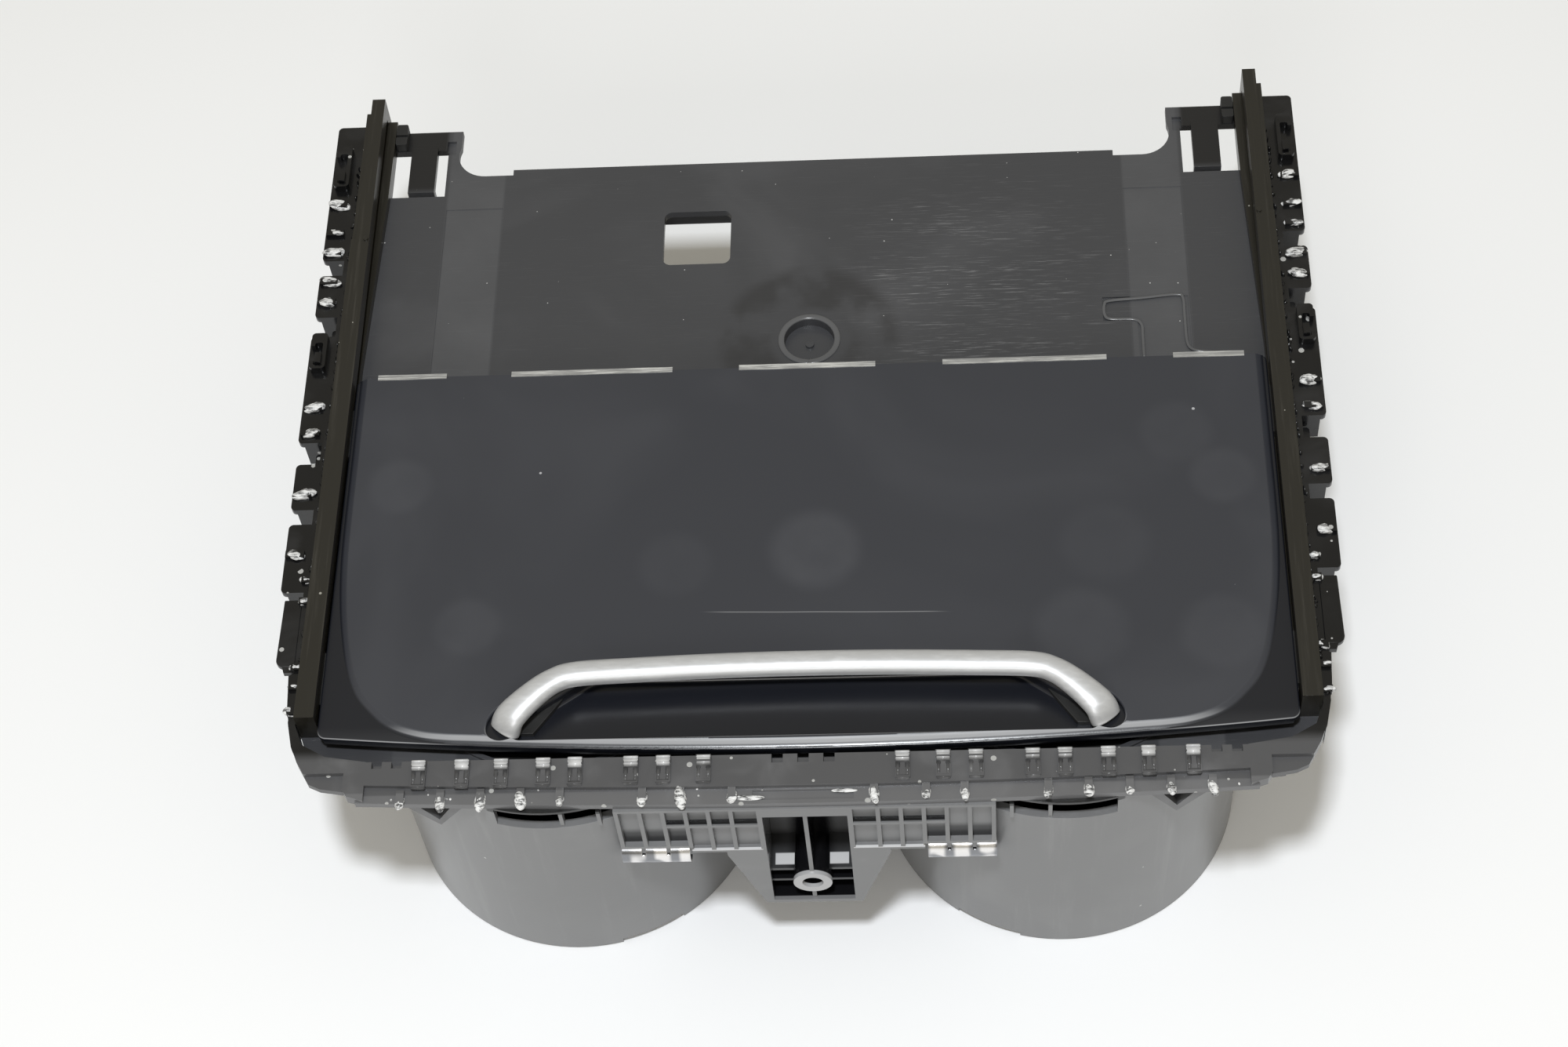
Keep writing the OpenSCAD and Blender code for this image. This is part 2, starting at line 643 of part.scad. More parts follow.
module guide_shoe(side, y) {
    color("#242426") at_rest() on_side(side) {
        // Tongue that runs in the rail's groove
        block(lid_half - 8, rail_in + groove_d - shoe_gap, y, y + shoe_len, groove_under + shoe_gap,
              groove_under + groove_h - shoe_gap);
        block(lid_half - 8, lid_half - 2.6, y, y + shoe_len, floor_top + 0.7, skin_under);
    }
}

module stop_buffer(side) {
    x1 = rail_in - ledge_w - fit;
    color("#131314") at_rest() on_side(side) difference() {
        soft_block(x1 - 3, x1, buffer_y, buffer_y + buffer_len, floor_top, ledge_top + 0.3, 0.6);
        block(x1 - 4, x1 + 1, buffer_y + 2.6, buffer_y + 3.4, ledge_top - 0.4, ledge_top + 1);
    }
}

// Finger recess in plan, widest at the front
module recess_plan(grow) {
    half = recess_w / 2 + grow;
    polygon([[-half, lid_front_y + 3.4 - grow], [half, lid_front_y + 3.4 - grow],
             [half - 12, bar_y - 0.6 + grow], [half - 18, bar_y + 1.4 + grow],
             [18 - half, bar_y + 1.4 + grow], [12 - half, bar_y - 0.6 + grow]]);
}

module lid_plan(inset) {
    bowed_plan(lid_half - inset, lid_front_y + inset, lid_rear_y, lid_bow);
}

// Plan of the raised field, with wide round front corners
module field_plan(inset) {
    r = 26;
    half = lid_half - 1.4 - inset;
    front = lid_front_y + 0.7 + inset;
    intersection() {
        bowed_plan(half, front, lid_rear_y, lid_bow);
        union() {
            translate([-half, 46]) square([2 * half, lid_rear_y - 46 - inset]);
            translate([-half + r, front - 1]) square([2 * (half - r), 60]);
            for (s = [-1, 1]) translate([s * (half - r), front + r + 1]) circle(r = r);
            translate([-half, front + r + 1]) square([2 * half, 50 - front - r]);
        }
    }
}

module lid_panel() {
    low_top = lid_top - field_h;
    color("#2b2d31") at_rest() difference() {
        union() {
            translate([0, 0, skin_under]) linear_extrude(low_top - skin_under) lid_plan(0);
            translate([0, 0, low_top - 0.2]) linear_extrude(field_h * 0.6 + 0.2) field_plan(0);
            translate([0, 0, low_top - 0.2]) linear_extrude(field_h + 0.2) field_plan(0.6);
            // Front face that turns down
            translate([0, 0, lid_top - lid_face_h]) linear_extrude(lid_face_h - field_h - 0.3)
                difference() {
                    lid_plan(0);
                    translate([0, skin_t]) lid_plan(-3);
                }
            // Pan of the finger recess
            translate([0, 0, lid_top - recess_d - 1.4]) linear_extrude(recess_d) recess_plan(1.2);
        }
        translate([0, 0, lid_top - recess_d]) linear_extrude(recess_d + 1) recess_plan(0);
        // Oval sockets for the ends of the handle
        both_sides() translate([handle_end[0] - 1, handle_end[1] + 1.2, lid_top - 1.4]) cylinder(r = 5.3, h = 3);
        both_sides() translate([handle_end[0], handle_end[1], skin_under - 1]) cylinder(r = 1.5, h = 5);
        for (s = EDGE_STRIPS) translate([s[0], lid_rear_y - strip_w + 0.7, strip_z]) cube([s[1], 5, 5]);
    }
}

// Bright strips in the rear edge: start and length
EDGE_STRIPS = [[-107.5, 17.5], [-73.9, 40.5], [-17, 34], [33.4, 40.5], [90, 17.5]];
strip_w = 1.5;
strip_z = skin_under + 0.5;

module rear_edge_strips() {
    color("#c9cac8") at_rest() for (s = EDGE_STRIPS)
        translate([s[0] + fit, lid_rear_y - strip_w + 0.7 + fit, strip_z + fit])
            cube([s[1] - 2 * fit, strip_w, lid_top - strip_z + 0.1]);
}

module lid_carrier() {
    rear = lid_rear_y - 3;
    rib_front = bar_y + 3.2;
    pitch_x = (lid_half - 10.6) / 3;
    pitch_y = (rear - rib_front - 6.7) / 2;
    color("#1d1e20") at_rest() difference() {
        union() {
            difference() {
                block(-lid_half + 1, lid_half - 1, -3, rear, carrier_under, skin_under);
                // Openings between the ribs
                both_sides() for (x = [0 : 2]) for (y = [0 : 1])
                    translate([x * pitch_x, y * pitch_y + rib_front, 0])
                    soft_block(6, pitch_x, 3.4, pitch_y - 2.6, carrier_under - 1, skin_under + 1, 3);
            }
            for (y = [0 : 2]) translate([0, rib_front + y * pitch_y, 0])
                block(-3 * pitch_x + 2, 3 * pitch_x - 2, 0, 1.4, floor_top + 1.2, skin_under - cut);
            both_sides() for (x = [0 : 2]) translate([x * pitch_x + 2.4, rib_front, 0])
                block(0, 1.4, 0, 2 * pitch_y + 1, floor_top + 1.2, skin_under - cut);
        }
        // Space for the pan of the finger recess
        translate([0, 0, floor_top]) linear_extrude(10) recess_plan(1.2 + fit);
        // Space for the shoes
        both_sides() for (y = [front_shoe_y, rear_shoe_y])
            block(lid_half - 8 - fit, lid_half + 1, y - fit, y + shoe_len + fit, floor_top, skin_under + 1);
        both_sides() translate([handle_end[0], handle_end[1], floor_top]) cylinder(r = 1.5, h = 8);
    }
}

// Middle line of the handle: ends, knees and a nearly straight middle
handle_end = [handle_w / 2 - 0.6, -1.4, lid_top + 1.5];
handle_knee = [handle_w / 2 - 13, bar_y - 1, lid_top + bar_lift];
handle_mid = [0, bar_y + 1.2, lid_top + bar_lift + 0.2];
function lerp(a, b, t) = a + (b - a) * t;
function bend(a, b, c, t) = lerp(lerp(a, b, t), lerp(b, c, t), t);
knee_in = lerp(handle_knee, handle_end, 0.45);
knee_out = lerp(handle_knee, handle_mid, 0.22);
half_path = concat([for (i = [0 : 2]) lerp(handle_end, knee_in, i / 3)],
                   [for (i = [0 : 8]) bend(knee_in, handle_knee, knee_out, i / 8)],
                   [for (i = [1 : 5]) lerp(knee_out, handle_mid, i / 5)]);
function flip_x(p) = [-p[0], p[1], p[2]];
path_n = len(half_path);
handle_path = concat(half_path, [for (i = [path_n - 2 : -1 : 0]) flip_x(half_path[i])]);
bar_sides = 16;

// Sweep of an oval section along a list of points
module swept_bar(path, w, h) {
    n = len(path);
    function along(i) = path[min(i + 1, n - 1)] - path[max(i - 1, 0)];
    function across(i) = let (d = along(i)) [d[1], -d[0], 0] / norm([d[0], d[1]]);
    function upward(i) = let (c = cross(across(i), along(i))) c / norm(c);
    points = [for (i = [0 : n - 1]) for (k = [0 : bar_sides - 1])
              path[i] + across(i) * (w / 2 * cos(k * 360 / bar_sides))
              + upward(i) * (h / 2 * sin(k * 360 / bar_sides))];
    sides = [for (i = [0 : n - 2]) for (k = [0 : bar_sides - 1])
             let (a = i * bar_sides + k, b = i * bar_sides + (k + 1) % bar_sides)
             each [[a, b, b + bar_sides], [a, b + bar_sides, a + bar_sides]]];
    start_cap = [[for (k = [bar_sides - 1 : -1 : 0]) k]];
    end_cap = [[for (k = [0 : bar_sides - 1]) (n - 1) * bar_sides + k]];
    polyhedron(points, concat(sides, start_cap, end_cap));
}

module handle() {
    color("#c4c5c6") at_rest() union() {
        swept_bar(handle_path, bar_w, bar_h);
        both_sides() translate([handle_end[0] - 0.4, handle_end[1] + 0.3, lid_top - 1.4 + fit])
            cylinder(r = 2.2, h = 2.6);
    }
}

module handle_screws() {
    color("#8d8f92") at_rest() both_sides() translate([handle_end[0], handle_end[1], 0]) {
        translate([0, 0, carrier_under - 1.6]) difference() {
            cylinder(r = 2.4, h = 1.6);
            translate([0, 0, -0.5]) cylinder(r = 1.1, h = 1.4, $fn = 6);
        }
        translate([0, 0, carrier_under - 0.5]) cylinder(r = 1.3, h = lid_top - carrier_under + 1);
    }
}

module front_bracket() {
    top = flange_under;
    lower = rail_top - bracket_drop;
    boss_z = rail_top - screw_boss_drop;
    back = bracket_y + crate_depth;
    pocket_back = bracket_y + screw_bore_len + 1;
    pocket_top = top - 4;
    arm_low = rail_top - arm_drop;
    t = crate_rib_t;
    color("#66676a") at_rest() difference() {
        union() {
            // Trapezoid block with the pocket
            difference() {
                translate([0, pocket_back, 0]) rotate([90, 0, 0]) linear_extrude(pocket_back - bracket_y)
                    polygon([[-11.5, lower], [11.5, lower], [19, rail_top - 28.4], [19, top], [-19, top],
                             [-19, rail_top - 28.4]]);
                block(-pocket_w / 2, pocket_w / 2, bracket_y - 1, pocket_back - 1.6, lower + 1.3, pocket_top);
                // Hollow corners beside the pocket
                both_sides() translate([0, pocket_back + 1, 0]) rotate([90, 0, 0])
                    linear_extrude(pocket_back - bracket_y - 0.4)
                    polygon([[pocket_w / 2 + 1.4, lower + 5], [17.4, rail_top - 29.5],
                             [pocket_w / 2 + 1.4, rail_top - 29.5]]);
                both_sides() block(pocket_w / 2 + 1.4, 17.4, back, pocket_back + 1, rail_top - 29, top - 2);
            }
            // Boss, its rib and the side shelves of the pocket
            translate([0, bracket_y, boss_z]) rotate([-90, 0, 0])
                cylinder(r = screw_boss_r, h = screw_bore_len + 0.6);
            block(-t / 2, t / 2, bracket_y + 0.6, pocket_back, lower + 0.5, pocket_top + 0.5);
            both_sides() for (z = [boss_z + 2.4, boss_z - 3])
                block(screw_boss_r - 0.6, pocket_w / 2 + 0.5, bracket_y + 2.2, pocket_back, z, z + t);
            // Egg-crate arms
            both_sides() {
                for (x = [16.2, 21.4, 26.6, 31.8, 37, 42.4])
                    block(x, x + t, bracket_y, back, x > 26 ? arm_low : rail_top - 26.8, top);
                for (z = [rail_top - 14.6, rail_top - 26.8]) block(10, 27, bracket_y, back, z, z + t);
                block(10, 43.4, bracket_y, back, top - t, top);
                block(26.6, 43.4, bracket_y, back, arm_low, arm_low + t);
                block(10, 43.4, back - 1.2, back, rail_top - 26.8, top);
            }
        }
        // Grid cells beside the pocket
        both_sides() block(pocket_w / 2 + 1.2, 16.2, bracket_y - 1, back - 1.2, rail_top - 13.6, top - t);
        both_sides() block(pocket_w / 2 + 1.2, 16.2, bracket_y - 1, back - 1.2, rail_top - 25.8, rail_top - 14.6);
        translate([0, bracket_y - 1, boss_z]) rotate([-90, 0, 0]) cylinder(r = screw_bore_r, h = screw_bore_len + 1);
        well_envelope();
        // Clearance for the frame's low wall behind the flange
        block(-60, 60, flange_rear_y - 0.2, 30, floor_under - seat_h - fit, top + 1);
    }
}

// Bowed sheet clip under the lower edge of a bracket arm
module spring_clip(side) {
    r = 4.2;
    low = rail_top - arm_drop;
    color("#b4b6b8") at_rest() on_side(side) difference() {
        translate([27.6, front_y + r, low - r - fit]) rotate([0, 90, 0]) difference() {
            cylinder(r = r, h = 16);
            translate([0, 0, -1]) cylinder(r = r - clip_sheet, h = 18);
        }
        // The sheet is open behind
        block(27, 45, front_y + 3.2, front_y + 10, low - 2 * r - 1, low + 1);
        // Slits between its three tongues
        for (x = [32.6, 38.4]) block(x - 0.4, x + 0.4, front_y - 1, front_y + 4, low - 2.6, low + 1);
    }
}

// Hooked clip that lies along a side tab
module trim_clip(x, y, len) {
    translate([x, y, flange_top]) {
        difference() {
            soft_block(0, 4, 0, len, 0, 2.2, 1);
            soft_block(1, 3, 1, len - 3, -1, 3, 0.6);
            block(2.4, 5, 2.4, len - 4, -1, 3);
        }
        translate([1, 1.4, 0]) cube([1.6, 3, 3]);
    }
}

module trim_clips() {
    color("#0f0f10") at_rest() both_sides() {
        trim_clip(wall_in + 2.6, 160, 14);
        trim_clip(wall_in + 3, 101, 11);
    }
}

top_frame();
floor_plate();
cup_deck();
guide_rail(LEFT);  // guide_rail_left
guide_rail(RIGHT);  // guide_rail_right
cup_well(LEFT);  // cup_well_left
cup_well(RIGHT);  // cup_well_right
cup_mat(LEFT);  // cup_mat_left
cup_mat(RIGHT);  // cup_mat_right
flap_bracket(LEFT);  // flap_bracket_left
flap_bracket(RIGHT);  // flap_bracket_right
grip_flap(LEFT);  // grip_flap_left
grip_flap(RIGHT);  // grip_flap_right
flap_pin(LEFT);  // flap_pin_left
flap_pin(RIGHT);  // flap_pin_right
flap_spring(LEFT);  // flap_spring_left
flap_spring(RIGHT);  // flap_spring_right
front_bracket();
spring_clip(LEFT);  // spring_clip_left
spring_clip(RIGHT);  // spring_clip_right
lid_panel();
lid_carrier();
rear_edge_strips();
handle();
handle_screws();
guide_shoe(LEFT, front_shoe_y);  // guide_shoe_front_left
guide_shoe(RIGHT, front_shoe_y);  // guide_shoe_front_right
guide_shoe(LEFT, rear_shoe_y);  // guide_shoe_rear_left
guide_shoe(RIGHT, rear_shoe_y);  // guide_shoe_rear_right
stop_buffer(LEFT);  // stop_buffer_left
stop_buffer(RIGHT);  // stop_buffer_right
trim_clips();
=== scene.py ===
"""Looks of a car cup holder with a sliding lid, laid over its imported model.

Makers and helpers take millimetres: x from the middle, y from the rails' front end, z up
from the feet of the wells. Meshes, and what a finish reads, are in metres, in the model's frame.
"""
import json
import math
import random

import bmesh
import bpy
from mathutils import Matrix, Vector


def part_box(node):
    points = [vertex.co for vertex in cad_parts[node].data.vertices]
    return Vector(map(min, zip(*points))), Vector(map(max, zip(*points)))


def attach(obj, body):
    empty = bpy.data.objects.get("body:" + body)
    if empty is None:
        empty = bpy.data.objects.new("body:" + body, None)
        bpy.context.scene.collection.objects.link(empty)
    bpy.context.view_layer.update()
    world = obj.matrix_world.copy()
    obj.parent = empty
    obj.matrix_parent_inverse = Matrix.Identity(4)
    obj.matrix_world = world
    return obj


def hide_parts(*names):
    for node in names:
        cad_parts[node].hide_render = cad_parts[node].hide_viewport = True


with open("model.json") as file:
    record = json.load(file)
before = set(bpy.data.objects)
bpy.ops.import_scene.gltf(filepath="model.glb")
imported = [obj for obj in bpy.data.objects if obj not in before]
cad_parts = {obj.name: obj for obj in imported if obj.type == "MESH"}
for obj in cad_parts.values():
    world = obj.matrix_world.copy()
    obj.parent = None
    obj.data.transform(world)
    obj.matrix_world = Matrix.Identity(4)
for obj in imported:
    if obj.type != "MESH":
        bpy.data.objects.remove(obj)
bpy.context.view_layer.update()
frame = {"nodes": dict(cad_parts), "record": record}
nodes = frame["nodes"]

MM = 0.001
RAIL_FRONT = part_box("guide_rail_left")[0].y
# Heights and edges of the main mouldings
LID_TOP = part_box("lid_panel")[1].z / MM
FLANGE_TOP = 75.0
PLATE_TOP = 68.5
PIT_Y = 112
WALL_IN = 118.1
WALL_OUT = WALL_IN + 1.8
LID_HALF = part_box("lid_panel")[1].x / MM
LID_FRONT = (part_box("lid_panel")[0].y - RAIL_FRONT) / MM
LID_REAR = (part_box("lid_panel")[1].y - RAIL_FRONT) / MM
LID_BOW = 5.3
BOW_RADIUS = (LID_HALF ** 2 + LID_BOW ** 2) / (2 * LID_BOW)
LID_LAND = LID_TOP - 1.1
LID_EDGE = LID_HALF + 0.3
BRACKET_FRONT = (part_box("front_bracket")[0].y - RAIL_FRONT) / MM
SCREW_BOSS_Z = 34.6


def place(x, y, z):
    """A point of the model frame, in metres, from a maker's measure in millimetres."""
    return Vector((x * MM, y * MM + RAIL_FRONT, z * MM))


def at_y(y):
    """The model's y, in metres, of a maker's y."""
    return place(0, y, 0).y


def add_object(name, data):
    """New object in the scene, at the origin."""
    made = bpy.data.objects.new(name, data)
    bpy.context.scene.collection.objects.link(made)
    return made


# --- Camera, lamps and floor ---------------------------------------------------------

def set_camera():
    """The photograph's viewpoint, from its pitch, yaw, roll, aim and distance."""
    pitch, yaw, roll = 0.983867, -0.114170, -0.120985
    distance, focal, image_width = 694.486, 3720.65, 2000
    aim = place(-4.94, 50.25, 78)
    forward = Vector((math.sin(yaw) * math.cos(pitch), math.cos(yaw) * math.cos(pitch), -math.sin(pitch)))
    level = Vector((math.cos(yaw), -math.sin(yaw), 0))
    upright = level.cross(forward)
    right = math.cos(roll) * level + math.sin(roll) * upright
    up = math.cos(roll) * upright - math.sin(roll) * level
    data = bpy.data.cameras.new("camera")
    data.sensor_width = 36
    data.lens = focal / image_width * data.sensor_width
    data.clip_start, data.clip_end = 0.01, 50
    camera = add_object("camera", data)
    turn = Matrix((right, up, -forward)).transposed()
    camera.matrix_world = Matrix.Translation(aim - forward * distance * MM) @ turn.to_4x4()
    bpy.context.scene.camera = camera


def softbox(name, at, aim, size, watts, tint=(1, 1, 1)):
    data = bpy.data.lights.new(name, "AREA")
    data.shape, data.size, data.energy, data.color = "SQUARE", size, watts, tint
    lamp = add_object(name, data)
    lamp.location = at
    lamp.rotation_euler = (Vector(aim) - Vector(at)).to_track_quat("-Z", "Y").to_euler()


def set_lights():
    scene = bpy.context.scene
    scene.view_settings.view_transform = "Standard"
    world = bpy.data.worlds.new("studio")
    scene.world = world
    world.use_nodes = True
    back = world.node_tree.nodes["Background"]
    back.inputs["Color"].default_value = (1.0, 0.945, 0.8, 1)
    back.inputs["Strength"].default_value = 0.4
    softbox("key_box", (-0.015, -0.40, 1.20), (0, 0, 0.06), 0.1, 10.0, (0.93, 0.965, 1.0))
    softbox("front_box", (-0.15, -1.35, 0.9), (0, 0, 0.04), 0.5, 4.0)


def make_floor():
    bpy.ops.mesh.primitive_plane_add(size=8, location=(0, 0, -0.0003))
    floor = bpy.context.object
    floor.name = "floor"
    kit = Finish("floor_paper", (0.88, 0.89, 0.89), 0.85)
    kit.colour(kit.noise(3.0, detail=2), (0.92, 0.927, 0.945), (0.95, 0.955, 0.972))
    floor.data.materials.append(kit.material)


# --- Shared shader effects -----------------------------------------------------------

def put_node(tree, kind, inputs, **settings):
    """A node with its settings, each input set to a value or linked to a socket."""
    node = tree.nodes.new(kind)
    for key, value in settings.items():
        setattr(node, key, value)
    for label, value in inputs.items():
        if isinstance(value, bpy.types.NodeSocket):
            tree.links.new(value, node.inputs[label])
        else:
            node.inputs[label].default_value = value
    return node


def group_of(kind, name, inputs, outputs):
    """Node group with named sockets; gives it, the sockets it reads and those it fills."""
    group = bpy.data.node_groups.new(name, kind)
    for label, socket_type, value in inputs:
        socket = group.interface.new_socket(name=label, in_out="INPUT", socket_type="NodeSocket" + socket_type)
        if value is not None:
            socket.default_value = value
    for label, socket_type in outputs:
        group.interface.new_socket(name=label, in_out="OUTPUT", socket_type="NodeSocket" + socket_type)
    return group, group.nodes.new("NodeGroupInput").outputs, group.nodes.new("NodeGroupOutput").inputs


def effect_group(name, result, *inputs):
    """Shader group that reads a vector and puts out one number."""
    return group_of("ShaderNodeTree", name, [("Vector", "Vector", None), *inputs], [(result, "Float")])


def math_node(tree, operation, a, b=0.0, clamp=False):
    return put_node(tree, "ShaderNodeMath", {0: a, 1: b}, operation=operation, use_clamp=clamp).outputs[0]


def ramp_node(tree, value, low, high):
    """0 below low, 1 above high, smooth between; low and high are numbers or sockets."""
    inputs = {"Value": value, "From Min": low, "From Max": high}
    return put_node(tree, "ShaderNodeMapRange", inputs, interpolation_type="SMOOTHSTEP").outputs["Result"]


def make_streaks():
    """Fine parallel scratches: noise drawn out along one direction."""
    group, given, out = effect_group("fine_streaks", "Mask", ("Spread", "Vector", (30, 900, 200)),
                                     ("From", "Float", 0.55), ("To", "Float", 0.75))
    drawn = put_node(group, "ShaderNodeVectorMath", {0: given["Vector"], 1: given["Spread"]},
                     operation="MULTIPLY")
    noise = put_node(group, "ShaderNodeTexNoise",
                     {"Scale": 1, "Detail": 5, "Roughness": 0.65, "Vector": drawn.outputs[0]})
    group.links.new(ramp_node(group, noise.outputs["Fac"], given["From"], given["To"]), out["Mask"])
    return group


def make_specks():
    """Dust: small dots of uneven size, most of them left out."""
    group, given, out = effect_group("dust_specks", "Mask", ("Scale", "Float", 160.0), ("Size", "Float", 0.12),
                                     ("Share", "Float", 0.2))
    cells = put_node(group, "ShaderNodeTexVoronoi", {"Vector": given["Vector"], "Scale": given["Scale"]})
    pick = put_node(group, "ShaderNodeSeparateColor", {0: cells.outputs["Color"]})
    chosen = math_node(group, "LESS_THAN", pick.outputs[0], given["Share"])
    size = math_node(group, "MULTIPLY", given["Size"], pick.outputs[1])
    dot = math_node(group, "LESS_THAN", cells.outputs["Distance"], size)
    group.links.new(math_node(group, "MULTIPLY", chosen, dot), out["Mask"])
    return group


def make_clouds():
    """Faint smears with soft edges, left by handling."""
    group, given, out = effect_group("handling_clouds", "Mask", ("Scale", "Float", 18.0),
                                     ("From", "Float", 0.45), ("To", "Float", 0.75))
    noise = put_node(group, "ShaderNodeTexNoise",
                     {"Detail": 3, "Distortion": 0.6, "Vector": given["Vector"], "Scale": given["Scale"]})
    group.links.new(ramp_node(group, noise.outputs["Fac"], given["From"], given["To"]), out["Mask"])
    return group


def make_grain():
    """Skin of a moulding: fine pits over a slow unevenness."""
    group, given, out = effect_group("moulded_skin", "Height", ("Fine", "Float", 2600.0),
                                     ("Slow", "Float", 60.0), ("Fine Part", "Float", 0.4))
    fine, slow = (put_node(group, "ShaderNodeTexNoise",
                           {"Detail": 2, "Vector": given["Vector"], "Scale": given[label]}).outputs["Fac"]
                  for label in ("Fine", "Slow"))
    fine = math_node(group, "MULTIPLY", fine, given["Fine Part"])
    group.links.new(math_node(group, "ADD", fine, slow), out["Height"])
    return group


class Finish:
    """One material: a Principled shader and short calls that add its detail."""

    def __init__(self, name, color, roughness, metallic=0.0, coat=0.0, coat_roughness=0.1, specular=0.5):
        self.material = bpy.data.materials.new(name)
        self.material.use_nodes = True
        self.tree = self.material.node_tree
        self.shader = self.tree.nodes["Principled BSDF"]
        self.set("Base Color", (*color, 1))
        self.set("Roughness", roughness)
        self.set("Metallic", metallic)
        self.set("Coat Weight", coat)
        self.set("Coat Roughness", coat_roughness)
        self.set("Specular IOR Level", specular)
        self.coords = self.tree.nodes.new("ShaderNodeTexCoord").outputs["Object"]

    def set(self, label, value):
        self.shader.inputs[label].default_value = value

    def link(self, socket, label):
        self.tree.links.new(socket, self.shader.inputs[label])

    def effect(self, group, **values):
        node = put_node(self.tree, "ShaderNodeGroup", {}, node_tree=group)
        self.tree.links.new(self.coords, node.inputs["Vector"])
        for label, value in values.items():
            node.inputs[label.replace("_", " ")].default_value = value
        return node.outputs[0]

    def noise(self, scale, detail=2.0):
        inputs = {"Scale": scale, "Detail": detail, "Vector": self.coords}
        return put_node(self.tree, "ShaderNodeTexNoise", inputs).outputs["Fac"]

    def math(self, operation, a, b=0.0, clamp=False):
        return math_node(self.tree, operation, a, b, clamp)

    def ramp(self, value, low, high):
        return ramp_node(self.tree, value, low, high)

    def invert(self, mask):
        return self.math("SUBTRACT", 1.0, mask)

    def both(self, mask, *others):
        """Product of masks and numbers."""
        for other in others:
            mask = self.math("MULTIPLY", mask, other)
        return mask

    def fade(self, value, low, high):
        """1 below low, falling to 0 at high."""
        return self.invert(self.ramp(value, low, high))

    def spot(self, centre, radius, softness):
        """1 within radius of a point, falling to 0 over softness; all in metres."""
        node = put_node(self.tree, "ShaderNodeVectorMath", {0: self.coords, 1: centre}, operation="DISTANCE")
        return self.fade(node.outputs["Value"], radius, radius + softness)

    def axis(self, index):
        if not hasattr(self, "split"):
            self.split = put_node(self.tree, "ShaderNodeSeparateXYZ", {0: self.coords})
        return self.split.outputs[index]

    def off_middle(self):
        """Distance from the middle plane between the two wells."""
        return self.math("ABSOLUTE", self.axis(0))

    def band(self, index, low, high, softness):
        """1 where a coordinate lies between low and high."""
        rise = self.ramp(self.axis(index), low - softness, low + softness)
        fall = self.ramp(self.axis(index), high - softness, high + softness)
        return self.math("SUBTRACT", rise, fall, clamp=True)

    def mix(self, mask, a, b):
        """Colour that goes from a to b with the mask; each is a colour or a socket."""
        node = put_node(self.tree, "ShaderNodeMix", {"Factor": mask}, data_type="RGBA")
        for target, value in zip([s for s in node.inputs if s.type == "RGBA"], (a, b)):
            if isinstance(value, tuple):
                target.default_value = (*value, 1)
            else:
                self.tree.links.new(value, target)
        return next(s for s in node.outputs if s.type == "RGBA")

    def span(self, mask, low, high):
        """A number that runs from low to high with the mask."""
        return self.math("ADD", self.both(mask, high - low), low)

    def colour(self, mask, a, b):
        self.link(self.mix(mask, a, b), "Base Color")

    def roughness(self, mask, low, high):
        self.link(self.span(mask, low, high), "Roughness")

    def grain(self, depth, strength, **values):
        self.relief(self.effect(GRAIN, **values), depth, strength)

    def relief(self, height, depth, strength):
        inputs = {"Distance": depth, "Strength": strength, "Height": height}
        self.link(put_node(self.tree, "ShaderNodeBump", inputs).outputs["Normal"], "Normal")


STREAKS, SPECKS, CLOUDS, GRAIN = make_streaks(), make_specks(), make_clouds(), make_grain()


# --- Finishes ------------------------------------------------------------------------

def frame_black():
    """Glossy black side tabs that turn satin grey on the front flange."""
    kit = Finish("frame_black", (0.01, 0.01, 0.011), 0.3)
    dust = kit.effect(SPECKS, Scale=420.0, Size=0.3, Share=0.16)
    cloud = kit.effect(CLOUDS, Scale=70.0)
    flange = kit.fade(kit.axis(1), at_y(-10.5), at_y(-7))
    black = kit.mix(cloud, (0.005, 0.005, 0.0055), (0.016, 0.016, 0.017))
    grey = kit.mix(cloud, (0.08, 0.08, 0.084), (0.115, 0.115, 0.12))
    base = kit.mix(flange, black, grey)
    front_strip = kit.both(kit.fade(kit.axis(1), at_y(-18.9), at_y(-18.3)), 0.5)
    base = kit.mix(front_strip, base, (0.17, 0.17, 0.175))
    kit.colour(dust, base, (0.4, 0.4, 0.39))
    kit.link(kit.math("ADD", kit.span(cloud, 0.2, 0.36), kit.both(flange, 0.1)), "Roughness")
    kit.grain(0.00018, 0.35, Fine=1800.0, Slow=120.0, Fine_Part=0.3)
    return kit.material


